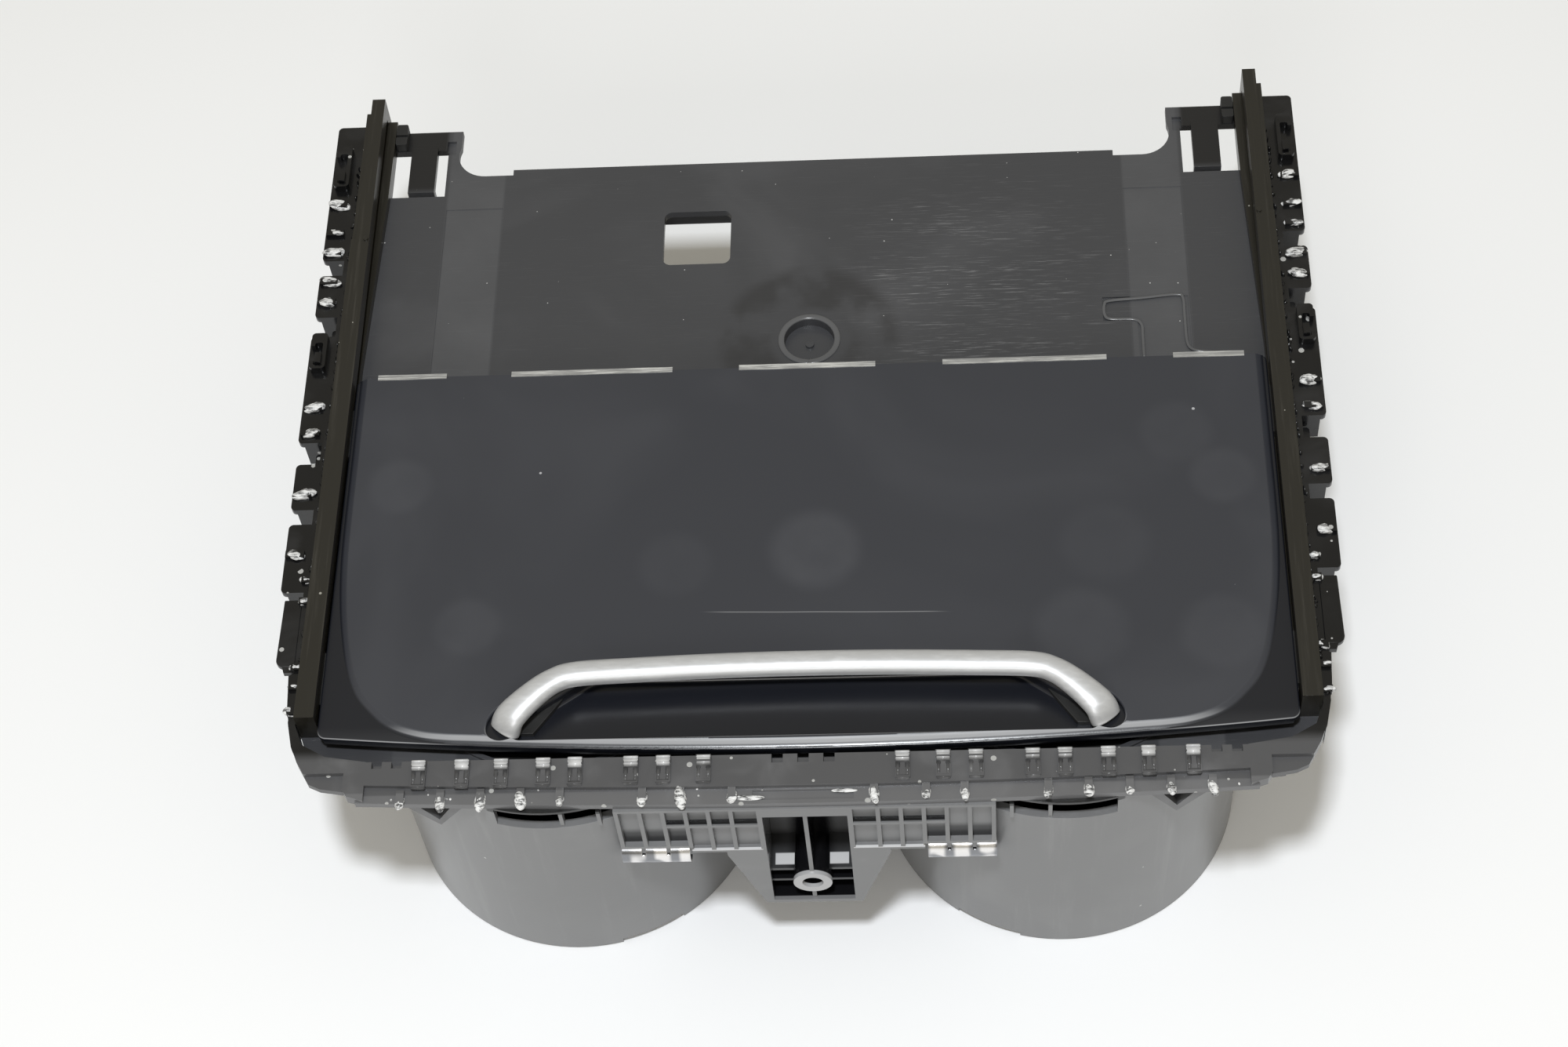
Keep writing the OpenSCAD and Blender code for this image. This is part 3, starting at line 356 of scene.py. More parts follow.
def plate_grey():
    """Satin plate, scuffed by the lid: scratches with a painted sheen, two smooth bands with painted light, a
    halo round the pit.
    """
    kit = Finish("plate_grey", (0.06, 0.06, 0.062), 0.34)
    streaks = kit.effect(STREAKS, Spread=(130, 2600, 100), From=0.52, To=0.72)
    wide = kit.effect(STREAKS, Spread=(16, 260, 100), From=0.42, To=0.66)
    # Painted sheen: round one spot at the right rear the scratches are drawn brighter, as light reflected
    # there.
    wear_and_sheen = kit.math("MAXIMUM", kit.spot(place(43, 128, PLATE_TOP), 0.008, 0.04), 0.06)
    scratches_and_sheen = kit.both(streaks, kit.span(wide, 0.2, 1.0), wear_and_sheen)
    cloud = kit.effect(CLOUDS, Scale=22.0)
    base = kit.mix(cloud, (0.051, 0.052, 0.057), (0.069, 0.07, 0.076))
    left, right = (kit.band(0, low * MM, high * MM, 0.0005) for low, high in ((-96, -81), (81, 96)))
    bands = kit.math("ADD", left, right, clamp=True)
    # The two bands are painted lighter, as light caught by shallow steps there; their lower roughness is their
    # own finish.
    smooth = kit.mix(kit.noise(70, 3), (0.061, 0.062, 0.067), (0.087, 0.088, 0.094))
    base = kit.mix(bands, base, smooth)
    base = kit.mix(scratches_and_sheen, base, (0.25, 0.25, 0.26))
    pit = place(0, PIT_Y, PLATE_TOP)
    halo = kit.math("SUBTRACT", kit.spot(pit, 0.02, 0.005), kit.spot(pit, 0.0085, 0.003), clamp=True)
    ragged = kit.both(halo, kit.ramp(kit.noise(75, 3), 0.36, 0.62), 0.7)
    base = kit.mix(ragged, base, (0.028, 0.028, 0.03))
    dust = kit.effect(SPECKS, Scale=430.0, Size=0.08, Share=0.2)
    base = kit.mix(dust, base, (0.55, 0.55, 0.55))
    tongues = kit.both(kit.ramp(kit.axis(1), at_y(163), at_y(166)), kit.ramp(kit.off_middle(), 0.0965, 0.098))
    kit.colour(tongues, base, (0.012, 0.012, 0.013))
    kit.roughness(bands, 0.3, 0.42)
    kit.relief(kit.math("ADD", kit.both(streaks, 0.5), kit.effect(GRAIN, Fine=2200.0)), 0.00012, 0.25)
    return kit.material


def rail_brown():
    kit = Finish("rail_brown", (0.026, 0.023, 0.017), 0.36)
    streaks = kit.effect(STREAKS, Spread=(900, 30, 900), From=0.5, To=0.8)
    base = kit.mix(streaks, (0.017, 0.0155, 0.012), (0.036, 0.033, 0.027))
    dust = kit.effect(SPECKS, Scale=330.0, Size=0.12, Share=0.2)
    kit.colour(dust, base, (0.3, 0.29, 0.26))
    kit.roughness(streaks, 0.28, 0.42)
    kit.grain(0.0001, 0.3, Fine=2000.0)
    return kit.material


def well_grey():
    """Grey wells, with painted shade: black on the hidden top ring and round the slot's upper edge."""
    kit = Finish("well_grey", (0.19, 0.191, 0.195), 0.36)
    cloud = kit.effect(CLOUDS, Scale=26.0)
    streaks = kit.effect(STREAKS, Spread=(260, 260, 18), From=0.5, To=0.8)
    base = kit.mix(cloud, (0.175, 0.176, 0.18), (0.215, 0.216, 0.22))
    base = kit.mix(kit.both(streaks, 0.3), base, (0.29, 0.29, 0.295))
    dust = kit.effect(SPECKS, Scale=180.0, Size=0.09, Share=0.12)
    base = kit.mix(dust, base, (0.5, 0.5, 0.5))
    # Painted shade: the well goes black high up under the flange and round the slot's upper edge.
    half = kit.off_middle()
    slot = kit.both(kit.ramp(half, 0.0432, 0.0438), kit.fade(half, 0.0722, 0.0728),
                    kit.ramp(kit.axis(2), 70.0 * MM, 70.2 * MM))
    rim = kit.math("MAXIMUM", kit.ramp(kit.axis(2), 71.0 * MM, 71.4 * MM), slot)
    kit.colour(rim, base, (0.012, 0.012, 0.012))
    kit.roughness(cloud, 0.3, 0.42)
    kit.grain(0.00016, 0.3, Fine=1500.0, Slow=45.0, Fine_Part=0.25)
    return kit.material


# Heights, in metres, between which the top of the cells' middle bar lies
BAR_TOP = (0.06428, 0.0647)


def bracket_grey():
    """Grey bracket: a pale boss ring, painted shade in the glossy screw pocket, painted reflection on bar tops,
    painted highlights.
    """
    kit = Finish("bracket_grey", (0.19, 0.191, 0.195), 0.34)
    base = kit.mix(kit.effect(CLOUDS, Scale=40.0), (0.17, 0.171, 0.175), (0.215, 0.216, 0.22))
    front = place(0, BRACKET_FRONT, SCREW_BOSS_Z)
    half = kit.off_middle()
    # Painted shade inside the screw pocket: near black, with a painted sheen on its upper walls.
    deep = kit.ramp(kit.axis(1), front.y + 0.0009, front.y + 0.0011)
    inside = kit.both(deep, kit.math("LESS_THAN", half, 0.00975))
    high = kit.ramp(kit.axis(2), front.z + 0.001, front.z + 0.007)
    sheen = kit.both(high, kit.ramp(half, 0.003, 0.0065))
    base = kit.mix(inside, base, kit.mix(sheen, (0.006, 0.006, 0.007), (0.11, 0.111, 0.115)))
    ring = kit.both(kit.spot(front, 0.0049, 0.0002), kit.invert(deep))
    base = kit.mix(ring, base, (0.42, 0.42, 0.43))
    # Painted reflection: the top of the cells' middle bar, behind its front edge, is painted black like the
    # dark room it mirrors.
    behind = kit.ramp(kit.axis(1), front.y + 0.0003, front.y + 0.0005)
    bar = kit.both(kit.band(2, *BAR_TOP, 0.00004), behind, kit.math("GREATER_THAN", half, 0.0108))
    base = kit.mix(bar, base, (0.004, 0.004, 0.004))
    # Painted highlights: a thin pale line along the lower lip's front edge and pale shelves inside the pocket.
    lip = kit.both(kit.band(2, 0.05205, 0.0524, 0.00004),
                   kit.fade(kit.axis(1), front.y + 0.0006, front.y + 0.0007),
                   kit.math("GREATER_THAN", half, 0.0105))
    shelf = kit.both(kit.band(2, front.z + 0.0033, front.z + 0.0035, 0.00004),
                     kit.band(1, front.y + 0.0032, front.y + 0.0062, 0.0002),
                     inside, kit.band(0, -0.0087, 0.0087, 0.0001), kit.math("GREATER_THAN", half, 0.0042))
    pale = kit.math("MAXIMUM", lip, shelf)
    kit.colour(pale, base, (0.6, 0.6, 0.61))
    kit.roughness(inside, 0.36, 0.16)
    kit.grain(0.00012, 0.3, Fine=1500.0, Slow=45.0, Fine_Part=0.25)
    return kit.material


def cell_grey():
    """Backs of the bracket's cells, whose lower part is painted black as a reflection of the dark room."""
    grey = (0.17, 0.171, 0.175)
    kit = Finish("cell_grey", grey, 0.3)
    half = kit.off_middle()
    # Painted reflection: the middle bar's top and the arms' lower backs are painted black.
    bar = kit.both(kit.band(2, *BAR_TOP, 0.00004),
                   kit.ramp(kit.axis(1), at_y(BRACKET_FRONT + 0.4), at_y(BRACKET_FRONT + 0.6)),
                   kit.math("LESS_THAN", half, 0.0323))
    arm = kit.both(kit.fade(kit.axis(2), 0.0585, 0.0615), kit.math("GREATER_THAN", half, 0.0272))
    kit.colour(kit.math("MAXIMUM", bar, arm), grey, (0.005, 0.005, 0.006))
    return kit.material


# Faint round prints on the lid: x, y and radius in millimetres, and strength
PRINTS = [(-99, 65.5, 8, 0.45), (2.4, 44.3, 11, 0.8), (-79.7, 24.8, 8, 0.4), (64.5, 20.8, 11, 0.45),
          (96.8, 18.9, 10, 0.4), (99.8, 62.5, 8, 0.5), (89.4, 75.5, 9, 0.35), (71, 44.4, 11, 0.3),
          (-31, 41, 9, 0.3)]


def lid_satin():
    """Satin lid: prints, one scratch, a dark land, painted shade on the front face and recess, painted
    front-edge highlights.
    """
    kit = Finish("lid_satin", (0.04, 0.041, 0.046), 0.38)
    cloud = kit.effect(CLOUDS, Scale=16.0, From=0.42, To=0.72)
    marks = kit.both(cloud, 0.3)
    uneven = kit.span(kit.noise(140, 3), 0.5, 1.3)
    for x, y, radius, strength in PRINTS:
        print_mask = kit.spot(place(x, y, LID_TOP), radius * 0.7 * MM, radius * 0.5 * MM)
        marks = kit.math("ADD", marks, kit.both(print_mask, strength * 0.6, uneven), clamp=True)
    base = kit.mix(marks, (0.035, 0.037, 0.045), (0.064, 0.066, 0.076))
    # One long scratch before the handle
    wave = kit.both(kit.math("SUBTRACT", kit.noise(25, 2), 0.5), 0.0006)
    lean = kit.both(kit.axis(0), 0.027)
    along = kit.math("ADD", kit.math("ADD", kit.axis(1), wave), lean)
    away = kit.math("ABSOLUTE", kit.math("SUBTRACT", along, at_y(26.9)))
    scratch = kit.both(kit.fade(away, 0.00006, 0.0002), kit.band(0, -0.021, 0.031, 0.004), 0.6)
    base = kit.mix(scratch, base, (0.25, 0.25, 0.26))
    dust = kit.effect(SPECKS, Scale=150.0, Size=0.06, Share=0.35)
    base = kit.mix(dust, base, (0.4, 0.4, 0.42))
    # The land, the front face and the finger recess stay clean, dark and glossier; on the front face and in the
    # recess the dark is painted shade.
    raised = kit.ramp(kit.axis(2), (LID_LAND + 0.05) * MM, (LID_LAND + 0.5) * MM)
    base = kit.mix(raised, (0.009, 0.01, 0.014), base)
    # Painted highlight: light caught by the front roll of the field and by the edge of the land before it
    ahead = kit.fade(kit.axis(1), at_y(LID_FRONT + 4.2), at_y(LID_FRONT + 8.5))
    roll = kit.band(2, (LID_LAND + 0.35) * MM, (LID_TOP - 0.16) * MM, 0.0001)
    lip = kit.both(kit.band(2, (LID_LAND - 0.2) * MM, (LID_LAND - 0.03) * MM, 0.00004),
                   kit.ramp(kit.off_middle(), 0.078, 0.094))
    caught = kit.both(kit.math("MAXIMUM", roll, lip), ahead)
    kit.colour(caught, base, (0.28, 0.283, 0.295))
    glossier = kit.both(kit.invert(raised), 0.12)
    kit.link(kit.math("SUBTRACT", kit.span(marks, 0.34, 0.5), glossier), "Roughness")
    kit.grain(0.0001, 0.18, Fine=2600.0, Slow=30.0, Fine_Part=0.3)
    return kit.material


def handle_silver():
    kit = Finish("handle_silver", (0.66, 0.66, 0.67), 0.44, metallic=0.5)
    grain = kit.effect(STREAKS, Spread=(220, 900, 900), From=0.4, To=0.7)
    kit.colour(grain, (0.6, 0.605, 0.62), (0.66, 0.665, 0.68))
    kit.roughness(grain, 0.4, 0.46)
    kit.grain(0.00002, 0.15, Fine=4200.0, Slow=500.0, Fine_Part=0.6)
    return kit.material


def torn_plastic():
    """White stressed threads in black plastic where the welds were broken off."""
    kit = Finish("torn_plastic", (0.2, 0.2, 0.2), 0.25)
    threads = kit.effect(STREAKS, Spread=(420, 1500, 1500), From=0.37, To=0.58)
    kit.colour(threads, (0.07, 0.07, 0.072), (0.76, 0.76, 0.76))
    kit.roughness(threads, 0.2, 0.5)
    kit.grain(0.0004, 0.6, Fine=2400.0, Slow=900.0)
    return kit.material


def edge_strip_pale():
    kit = Finish("edge_strip_pale", (0.5, 0.5, 0.49), 0.35, metallic=0.3)
    streaks = kit.effect(STREAKS, Spread=(120, 2500, 900), From=0.4, To=0.7)
    kit.colour(streaks, (0.3, 0.3, 0.3), (0.68, 0.68, 0.66))
    kit.relief(streaks, 0.0001, 0.4)
    return kit.material


def bright_clip():
    kit = Finish("bright_clip", (0.74, 0.74, 0.76), 0.24, metallic=1.0)
    # Painted reflection: each tongue mirrors a light patch of the room between darker ends
    across = kit.math("PINGPONG", kit.math("SUBTRACT", kit.axis(0), 0.0326), 0.0029)
    patch = kit.both(kit.ramp(across, 0.0006, 0.0017), kit.ramp(kit.noise(150, 1), 0.38, 0.52))
    kit.colour(patch, (0.26, 0.265, 0.28), (0.86, 0.84, 0.83))
    kit.relief(kit.noise(160, 1), 0.0006, 0.3)
    return kit.material


def boss_grey():
    """Grey bosses whose raised rear ends are pale: stress whitening and a painted highlight."""
    kit = Finish("boss_grey", (0.13, 0.13, 0.134), 0.26)
    cloud = kit.effect(CLOUDS, Scale=300.0)
    top = kit.ramp(kit.axis(2), (FLANGE_TOP + 0.95) * MM, (FLANGE_TOP + 1.5) * MM)
    grey = kit.mix(cloud, (0.07, 0.07, 0.073), (0.13, 0.13, 0.134))
    # Pale rear ends: stress whitening and a painted highlight.
    wear_and_sheen = kit.mix(kit.noise(420, 3), (0.36, 0.36, 0.365), (0.8, 0.8, 0.81))
    kit.colour(top, grey, wear_and_sheen)
    kit.roughness(cloud, 0.2, 0.34)
    return kit.material


def plain_black(name, shade, roughness, fine=2400.0):
    kit = Finish(name, (shade, shade, shade), roughness)
    cloud = kit.effect(CLOUDS, Scale=60.0)
    kit.colour(cloud, (shade * 0.8,) * 3, (shade * 1.4,) * 3)
    kit.roughness(cloud, roughness - 0.05, roughness + 0.08)
    kit.grain(0.00014, 0.4, Fine=fine)
    return kit.material


def drawn_steel():
    kit = Finish("drawn_steel", (0.58, 0.58, 0.59), 0.28, metallic=1.0)
    streaks = kit.effect(STREAKS, Spread=(60, 2600, 2600), From=0.4, To=0.7)
    kit.colour(streaks, (0.46, 0.46, 0.47), (0.66, 0.66, 0.67))
    kit.roughness(streaks, 0.2, 0.38)
    return kit.material


FINISHES = {
    "gloss_black": frame_black(), "plate_grey": plate_grey(), "rail_brown": rail_brown(),
    "well_grey": well_grey(), "mat_rubber": plain_black("mat_rubber", 0.02, 0.62, 1500.0),
    "flap_black": plain_black("flap_black", 0.024, 0.42), "steel": drawn_steel(),
    "bright_clip": bright_clip(), "lid_satin": lid_satin(),
    "carrier_black": plain_black("carrier_black", 0.02, 0.4), "edge_strip": edge_strip_pale(),
    "handle_silver": handle_silver(), "shoe_pom": plain_black("shoe_black", 0.018, 0.4),
}
TORN = torn_plastic()
BRACKET = bracket_grey()


def soften(piece, width):
    """Small rounded edges on a moulding, with even shading between them."""
    bevel = piece.modifiers.new("soft_edges", "BEVEL")
    bevel.width, bevel.segments = width * MM, 2
    bevel.limit_method, bevel.angle_limit = "ANGLE", math.radians(32)
    bevel.use_clamp_overlap = True
    piece.modifiers.new("even_shading", "WEIGHTED_NORMAL")


def dress_nodes():
    """Gives each CAD node the finish of its slot, and small rounded edges."""
    slots = {row["node"]: row["material_slot"] for row in frame["record"]["subparts"]}
    radii = {"top_frame": 0.25, "floor_plate": 0.25, "front_bracket": 0.16, "guide_rail": 0.35,
             "cup_well": 0.25, "stop_buffer": 0.2, "trim_clips": 0.25, "cup_deck": 0.3,
             "spring_clip": 0.12, "lid_carrier": 0.2}
    for name, node in nodes.items():
        node.data.materials.clear()
        node.data.materials.append(FINISHES[slots[name]])
        width = next((w for key, w in radii.items() if name.startswith(key)), 0)
        if width:
            weld = node.modifiers.new("close_seams", "WELD")
            weld.merge_threshold = 0.00001
            soften(node, width)


# --- Mesh helpers --------------------------------------------------------------------

def new_piece(name, mesh, body, material, stands_for=()):
    piece = add_object(name, mesh)
    if material:
        mesh.materials.clear()
        mesh.materials.append(material)
    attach(piece, body)
    if stands_for:
        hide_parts(*stands_for)
    return piece


def mesh_of(name, work, smooth=True):
    bmesh.ops.remove_doubles(work, verts=work.verts, dist=1e-7)
    bmesh.ops.recalc_face_normals(work, faces=work.faces)
    mesh = bpy.data.meshes.new(name)
    work.to_mesh(mesh)
    work.free()
    for polygon in mesh.polygons:
        polygon.use_smooth = smooth
    return mesh


def stack(work, loops):
    """Closed solid from rings of equal length, capped at both ends."""
    rings = [[work.verts.new(point) for point in loop] for loop in loops]
    for low, high in zip(rings, rings[1:]):
        for i in range(len(low)):
            j = (i + 1) % len(low)
            work.faces.new((low[i], low[j], high[j], high[i]))
    work.faces.new(rings[0][::-1])
    work.faces.new(rings[-1])


def arc_outline(arcs, inset):
    """Ring made of convex arcs (x, y, radius, start, end in degrees), all set in by inset."""
    points = []
    for x, y, radius, start, end in arcs:
        count = 80 if radius > 200 else 20
        for i in range(count + 1):
            angle = math.radians(start + (end - start) * i / count)
            points.append((x + (radius - inset) * math.cos(angle), y + (radius - inset) * math.sin(angle)))
    return points


def lid_arcs(half, front, rear, corner, back_corner):
    """Outline with a front edge that bows forward between two round corners."""
    reach = half - corner
    rise = math.sqrt((BOW_RADIUS - corner) ** 2 - reach ** 2)
    lean = math.degrees(math.asin(reach / (BOW_RADIUS - corner)))
    y = front + BOW_RADIUS - rise
    return [(0, front + BOW_RADIUS, BOW_RADIUS, -90 - lean, -90 + lean), (reach, y, corner, -90 + lean, 0),
            (half - back_corner, rear - back_corner, back_corner, 0, 90),
            (back_corner - half, rear - back_corner, back_corner, 90, 180),
            (-reach, y, corner, 180, 270 - lean)]


def at_height(outline, z):
    return [place(x, y, z) for x, y in outline]


def plain_mesh(thing):
    """Mesh of an object as its modifiers leave it."""
    bpy.context.view_layer.update()
    graph = bpy.context.evaluated_depsgraph_get()
    return bpy.data.meshes.new_from_object(thing.evaluated_get(graph))


def shade_smooth(mesh, sharp_from):
    """Smooth shading, but for the edges that turn by more than an angle in degrees."""
    for polygon in mesh.polygons:
        polygon.use_smooth = True
    mesh.set_sharp_from_angle(angle=math.radians(sharp_from))


def cut_with(target, cutter, operation):
    """Boolean of two objects; the cutter goes away."""
    modifier = target.modifiers.new("cut", "BOOLEAN")
    modifier.operation, modifier.object, modifier.solver = operation, cutter, "EXACT"
    mesh = plain_mesh(target)
    target.modifiers.clear()
    target.data = mesh
    bpy.data.objects.remove(cutter)


def smooth_line(points, per_span):
    """Catmull-Rom line through the points."""
    padded = [points[0] * 2 - points[1], *points, points[-1] * 2 - points[-2]]
    line = []
    for a, b, c, d in zip(padded, padded[1:], padded[2:], padded[3:]):
        for i in range(per_span):
            t = i / per_span
            line.append(0.5 * (2 * b + (c - a) * t + (2 * a - 5 * b + 4 * c - d) * t * t
                               + (3 * b - a - 3 * c + d) * t ** 3))
    line.append(points[-1])
    return line


def sweep(work, line, wide, high, sides=40):
    """Closed bar of soft-cornered section along a line; wide is a function of the point."""
    loops = []
    for i, point in enumerate(line):
        along = (line[min(i + 1, len(line) - 1)] - line[max(i - 1, 0)]).normalized()
        across = Vector((along.y, -along.x, 0)).normalized()
        upward = across.cross(along).normalized()
        loop = []
        for k in range(sides):
            a = 2 * math.pi * k / sides
            c, s = math.cos(a), math.sin(a)
            # Superellipse: flatter top, soft corners
            u = math.copysign(abs(c) ** 0.86, c) * wide(point)
            v = math.copysign(abs(s) ** 0.92, s) * high
            p = point + across * u + upward * v
            loop.append(place(p.x, p.y, p.z))
        loops.append(loop)
    stack(work, loops)


def loose(name, work):
    """Working object that isn't a piece yet."""
    return add_object(name, mesh_of(name, work))


def solid(name, loops):
    """Loose closed object from rings."""
    work = bmesh.new()
    stack(work, loops)
    return loose(name, work)


def add_box(work, x, y, z):
    """Box from three (low, high) spans."""
    middle = place(*((low + high) / 2 for low, high in (x, y, z)))
    size = [(high - low) * MM for low, high in (x, y, z)]
    matrix = Matrix.Translation(middle) @ Matrix.Diagonal((*size, 1))
    bmesh.ops.create_cube(work, size=1, matrix=matrix)


def take_box(target, x, y, z):
    """Cuts a box out of a loose object."""
    work = bmesh.new()
    add_box(work, x, y, z)
    cut_with(target, loose("box_cutter", work), "DIFFERENCE")


def on_side(side, near, far):
    """Span of x on one side of the middle, from its two distances."""
    return tuple(sorted((side * near, side * far)))


def merged_copy(node_name):
    """Loose copy of a CAD node with its seams merged, so that it can be cut."""
    work = bmesh.new()
    work.from_mesh(nodes[node_name].data)
    work.transform(nodes[node_name].matrix_world)
    bmesh.ops.remove_doubles(work, verts=work.verts, dist=1e-6)
    return loose(node_name + "_work", work)


def finish_copy(name, work_piece, material, stands_for, width):
    """Turns a cut copy into a piece that stands for its node."""
    mesh = work_piece.data
    bpy.data.objects.remove(work_piece)
    shade_smooth(mesh, 32)
    soften(new_piece(name, mesh, "frame", material, [stands_for]), width)


# --- Frame and bracket ---------------------------------------------------------------

TAB_UNDER, TAB_TOP = 73.3, 74.95
# Past the outermost face of the frame
PAST_SIDE = 128


def make_frame():
    """The moulded frame with its low front corners and flat front tabs."""
    frame_work = merged_copy("top_frame")
    for side in (-1, 1):
        take_box(frame_work, on_side(side, 110, PAST_SIDE), (-24, 14), (20, 68))
        take_box(frame_work, on_side(side, WALL_IN - 0.2, PAST_SIDE), (13.5, 46), (20, 70))
        take_box(frame_work, on_side(side, WALL_IN + 2.2, PAST_SIDE), (13.5, 34.6), (60, TAB_UNDER))
        # The wall ends where the rounded corner begins
        corner = [(WALL_IN - 1.2, -10.05), (WALL_IN + 0.42, -6), (WALL_IN + 1.62, -0.5),
                  (WALL_OUT + 0.8, 4.5), (WALL_OUT + 1.4, 13), (PAST_SIDE + 2, 13), (PAST_SIDE + 2, -16),
                  (WALL_IN - 1.2, -16)]
        loops = [at_height([(side * x, y) for x, y in corner], z) for z in (20, 80)]
        cut_with(frame_work, solid("corner_cutter", loops), "DIFFERENCE")
    finish_copy("moulded_frame", frame_work, FINISHES["gloss_black"], "top_frame", 0.25)
    for name, side in (("front_tab_left", -1), ("front_tab_right", 1)):
        outline = [(WALL_OUT, 34), (WALL_OUT, 15.5), (WALL_IN + 4.4, 15.5)]
        outline += [(WALL_IN + 4.4 + 2.1 * math.sin(a), 17.6 - 2.1 * math.cos(a))
                    for a in (math.radians(90 * i / 8) for i in range(1, 9))]
        outline += [(WALL_IN + 6.2, 34)]
        work = bmesh.new()
        stack(work, [at_height([(side * x, y) for x, y in outline], z) for z in (TAB_UNDER, TAB_TOP)])
        mesh = mesh_of("front_tab", work, False)
        soften(new_piece(name, mesh, "frame", FINISHES["gloss_black"]), 0.3)


def make_bracket():
    """The front bracket with open cells, shallow cell backs and the two ribs in each slot."""
    work_piece = merged_copy("front_bracket")
    y = BRACKET_FRONT
    for side in (-1, 1):
        for z in ((52.2, 63.4), (64.4, 71.2)):
            take_box(work_piece, on_side(side, 17.2, 21.4), (y - 1, y + 3.4), z)
    finish_copy("bracket", work_piece, BRACKET, "front_bracket", 0.16)
    work = bmesh.new()
    for side in (-1, 1):
        add_box(work, on_side(side, 10.5, 42.8), (y + 1.5, y + 2.5), (51.6, 72.0))
        add_box(work, on_side(side, 27, 32.2), (y + 0.05, y + 2), (63.4, 64.4))
    mesh = mesh_of("cell_backs", work, False)
    soften(new_piece("cell_backs", mesh, "frame", cell_grey()), 0.1)
    work = bmesh.new()
    for side in (-1, 1):
        for x in (47, 55.7):
            add_box(work, (side * x - 0.45, side * x + 0.45), (-22.4, -20.6), (64.6, 71.1))
    mesh = mesh_of("slot_ribs", work, False)
    new_piece("slot_ribs", mesh, "frame", FINISHES["well_grey"])


# --- Lid -----------------------------------------------------------------------------

def front_edge(x):
    """Where the bowed front edge lies at x."""
    return LID_FRONT + BOW_RADIUS - math.sqrt(BOW_RADIUS ** 2 - x ** 2)


# Corner of the raised field: distances from the lid's side and from its front edge
FIELD_CORNER = [(36, 0.4), (30, 0.4), (24.5, 0.8), (18.7, 2.2), (14.6, 4.4), (11.3, 7.4), (8.6, 10.4),
                (6.7, 13.8), (4.9, 19), (3.2, 27), (1.9, 36), (1.1, 46), (0.8, 58), (0.8, 80)]


def field_outlines(insets):
    """Rings of the raised field, each set in from the first; they run past the rear edge."""
    right = [Vector((x, front_edge(x) + 0.4)) for x in range(0, 72, 8)]
    right += [Vector((LID_EDGE - side, front_edge(LID_EDGE - side) + ahead)) for side, ahead in FIELD_CORNER]
    right.append(Vector((LID_EDGE - 0.8, LID_REAR + 6)))
    line = smooth_line(right, 7)
    inward = []
    for i in range(len(line)):
        along = (line[min(i + 1, len(line) - 1)] - line[max(i - 1, 0)]).normalized()
        inward.append(Vector((-along.y, along.x)))
    inward[0], inward[-1] = Vector((0, 1)), Vector((-1, 0))
    rings = []
    for inset in insets:
        ring = [point + turn * inset for point, turn in zip(line, inward)]
        rings.append([(p.x, p.y) for p in ring] + [(-p.x, p.y) for p in reversed(ring[1:])])
    return rings


def lid_body():
    """Skin with a crisp edge and a raised field that rolls up out of the land."""
    outer = lid_arcs(LID_EDGE, LID_FRONT, LID_REAR, 2.2, 1.2)
    under, round_r = LID_TOP - 2.2, 0.4
    loops = [at_height(arc_outline(outer, 0), under)]
    for i in range(6):
        angle = math.radians(90 * i / 5)
        loops.append(at_height(arc_outline(outer, round_r * (1 - math.cos(angle))),
                               LID_LAND - round_r + round_r * math.sin(angle)))
    cover = solid("lid_cover", loops)
    slope, steps = 2.2, 8
    parts = [i / steps for i in range(steps + 1)]
    rings = field_outlines([0] + [slope * t for t in parts])
    heights = [LID_LAND - 0.5] + [LID_LAND + 1.1 * (t + 0.4 * (t * t * (3 - 2 * t) - t)) for t in parts]
    field = solid("lid_field", [at_height(ring, z) for ring, z in zip(rings, heights)])
    take_box(field, (-130, 130), (LID_REAR, LID_REAR + 30), (60, 90))
    cut_with(cover, field, "UNION")
    return cover


def lid_front_face():
    """Strip that turns down along the front edge."""
    steps, half = 90, LID_HALF - 1.2
    # Distance behind the edge, and height
    profile = [(0.02, 73.7), (0.02, 72.2), (0.3, 71.8), (1.9, 71.8), (2.2, 72.1), (2.2, 73.7)]
    across = [-half + 2 * half * i / steps for i in range(steps + 1)]
    return solid("lid_front_face", [[place(x, front_edge(x) + d, z) for d, z in profile] for x in across])


def recess_arcs():
    """Finger recess in plan: long front side, shorter and rounder rear side."""
    front, rear = -5.6, 11.2
    wide, narrow = 69.8, 54
    return [(wide - 4.5, front + 2.4, 2.4, -90, 53), (narrow - 8, rear - 9, 9, 53, 90),
            (8 - narrow, rear - 9, 9, 90, 127), (4.5 - wide, front + 2.4, 2.4, 127, 270)]


def recess_cutter():
    """Inside of the finger recess, with a rounded floor edge and a rolled lip."""
    arcs = recess_arcs()
    deep = LID_TOP - 3.6
    loops = [at_height(arc_outline(arcs, 1.0), deep)]
    for i in range(1, 6):
        angle = math.radians(90 * i / 5)
        loops.append(at_height(arc_outline(arcs, 1 - math.sin(angle)), deep + 1.2 * (1 - math.cos(angle))))
    for i in range(1, 7):
        angle = math.radians(90 * i / 6)
        loops.append(at_height(arc_outline(arcs, -0.9 * (1 - math.cos(angle))),
                               LID_TOP - 0.9 + 0.9 * math.sin(angle)))
    loops.append(at_height(arc_outline(arcs, -0.9), LID_TOP + 2))
    return solid("recess_cutter", loops)


def pan_block():
    """Block under the cover that the finger recess is sunk into."""
    arcs = recess_arcs()
    levels = ((-0.4, 70.7), (-0.8, 71.1), (-0.8, 73.9))
    return solid("pan_block", [at_height(arc_outline(arcs, inset), z) for inset, z in levels])


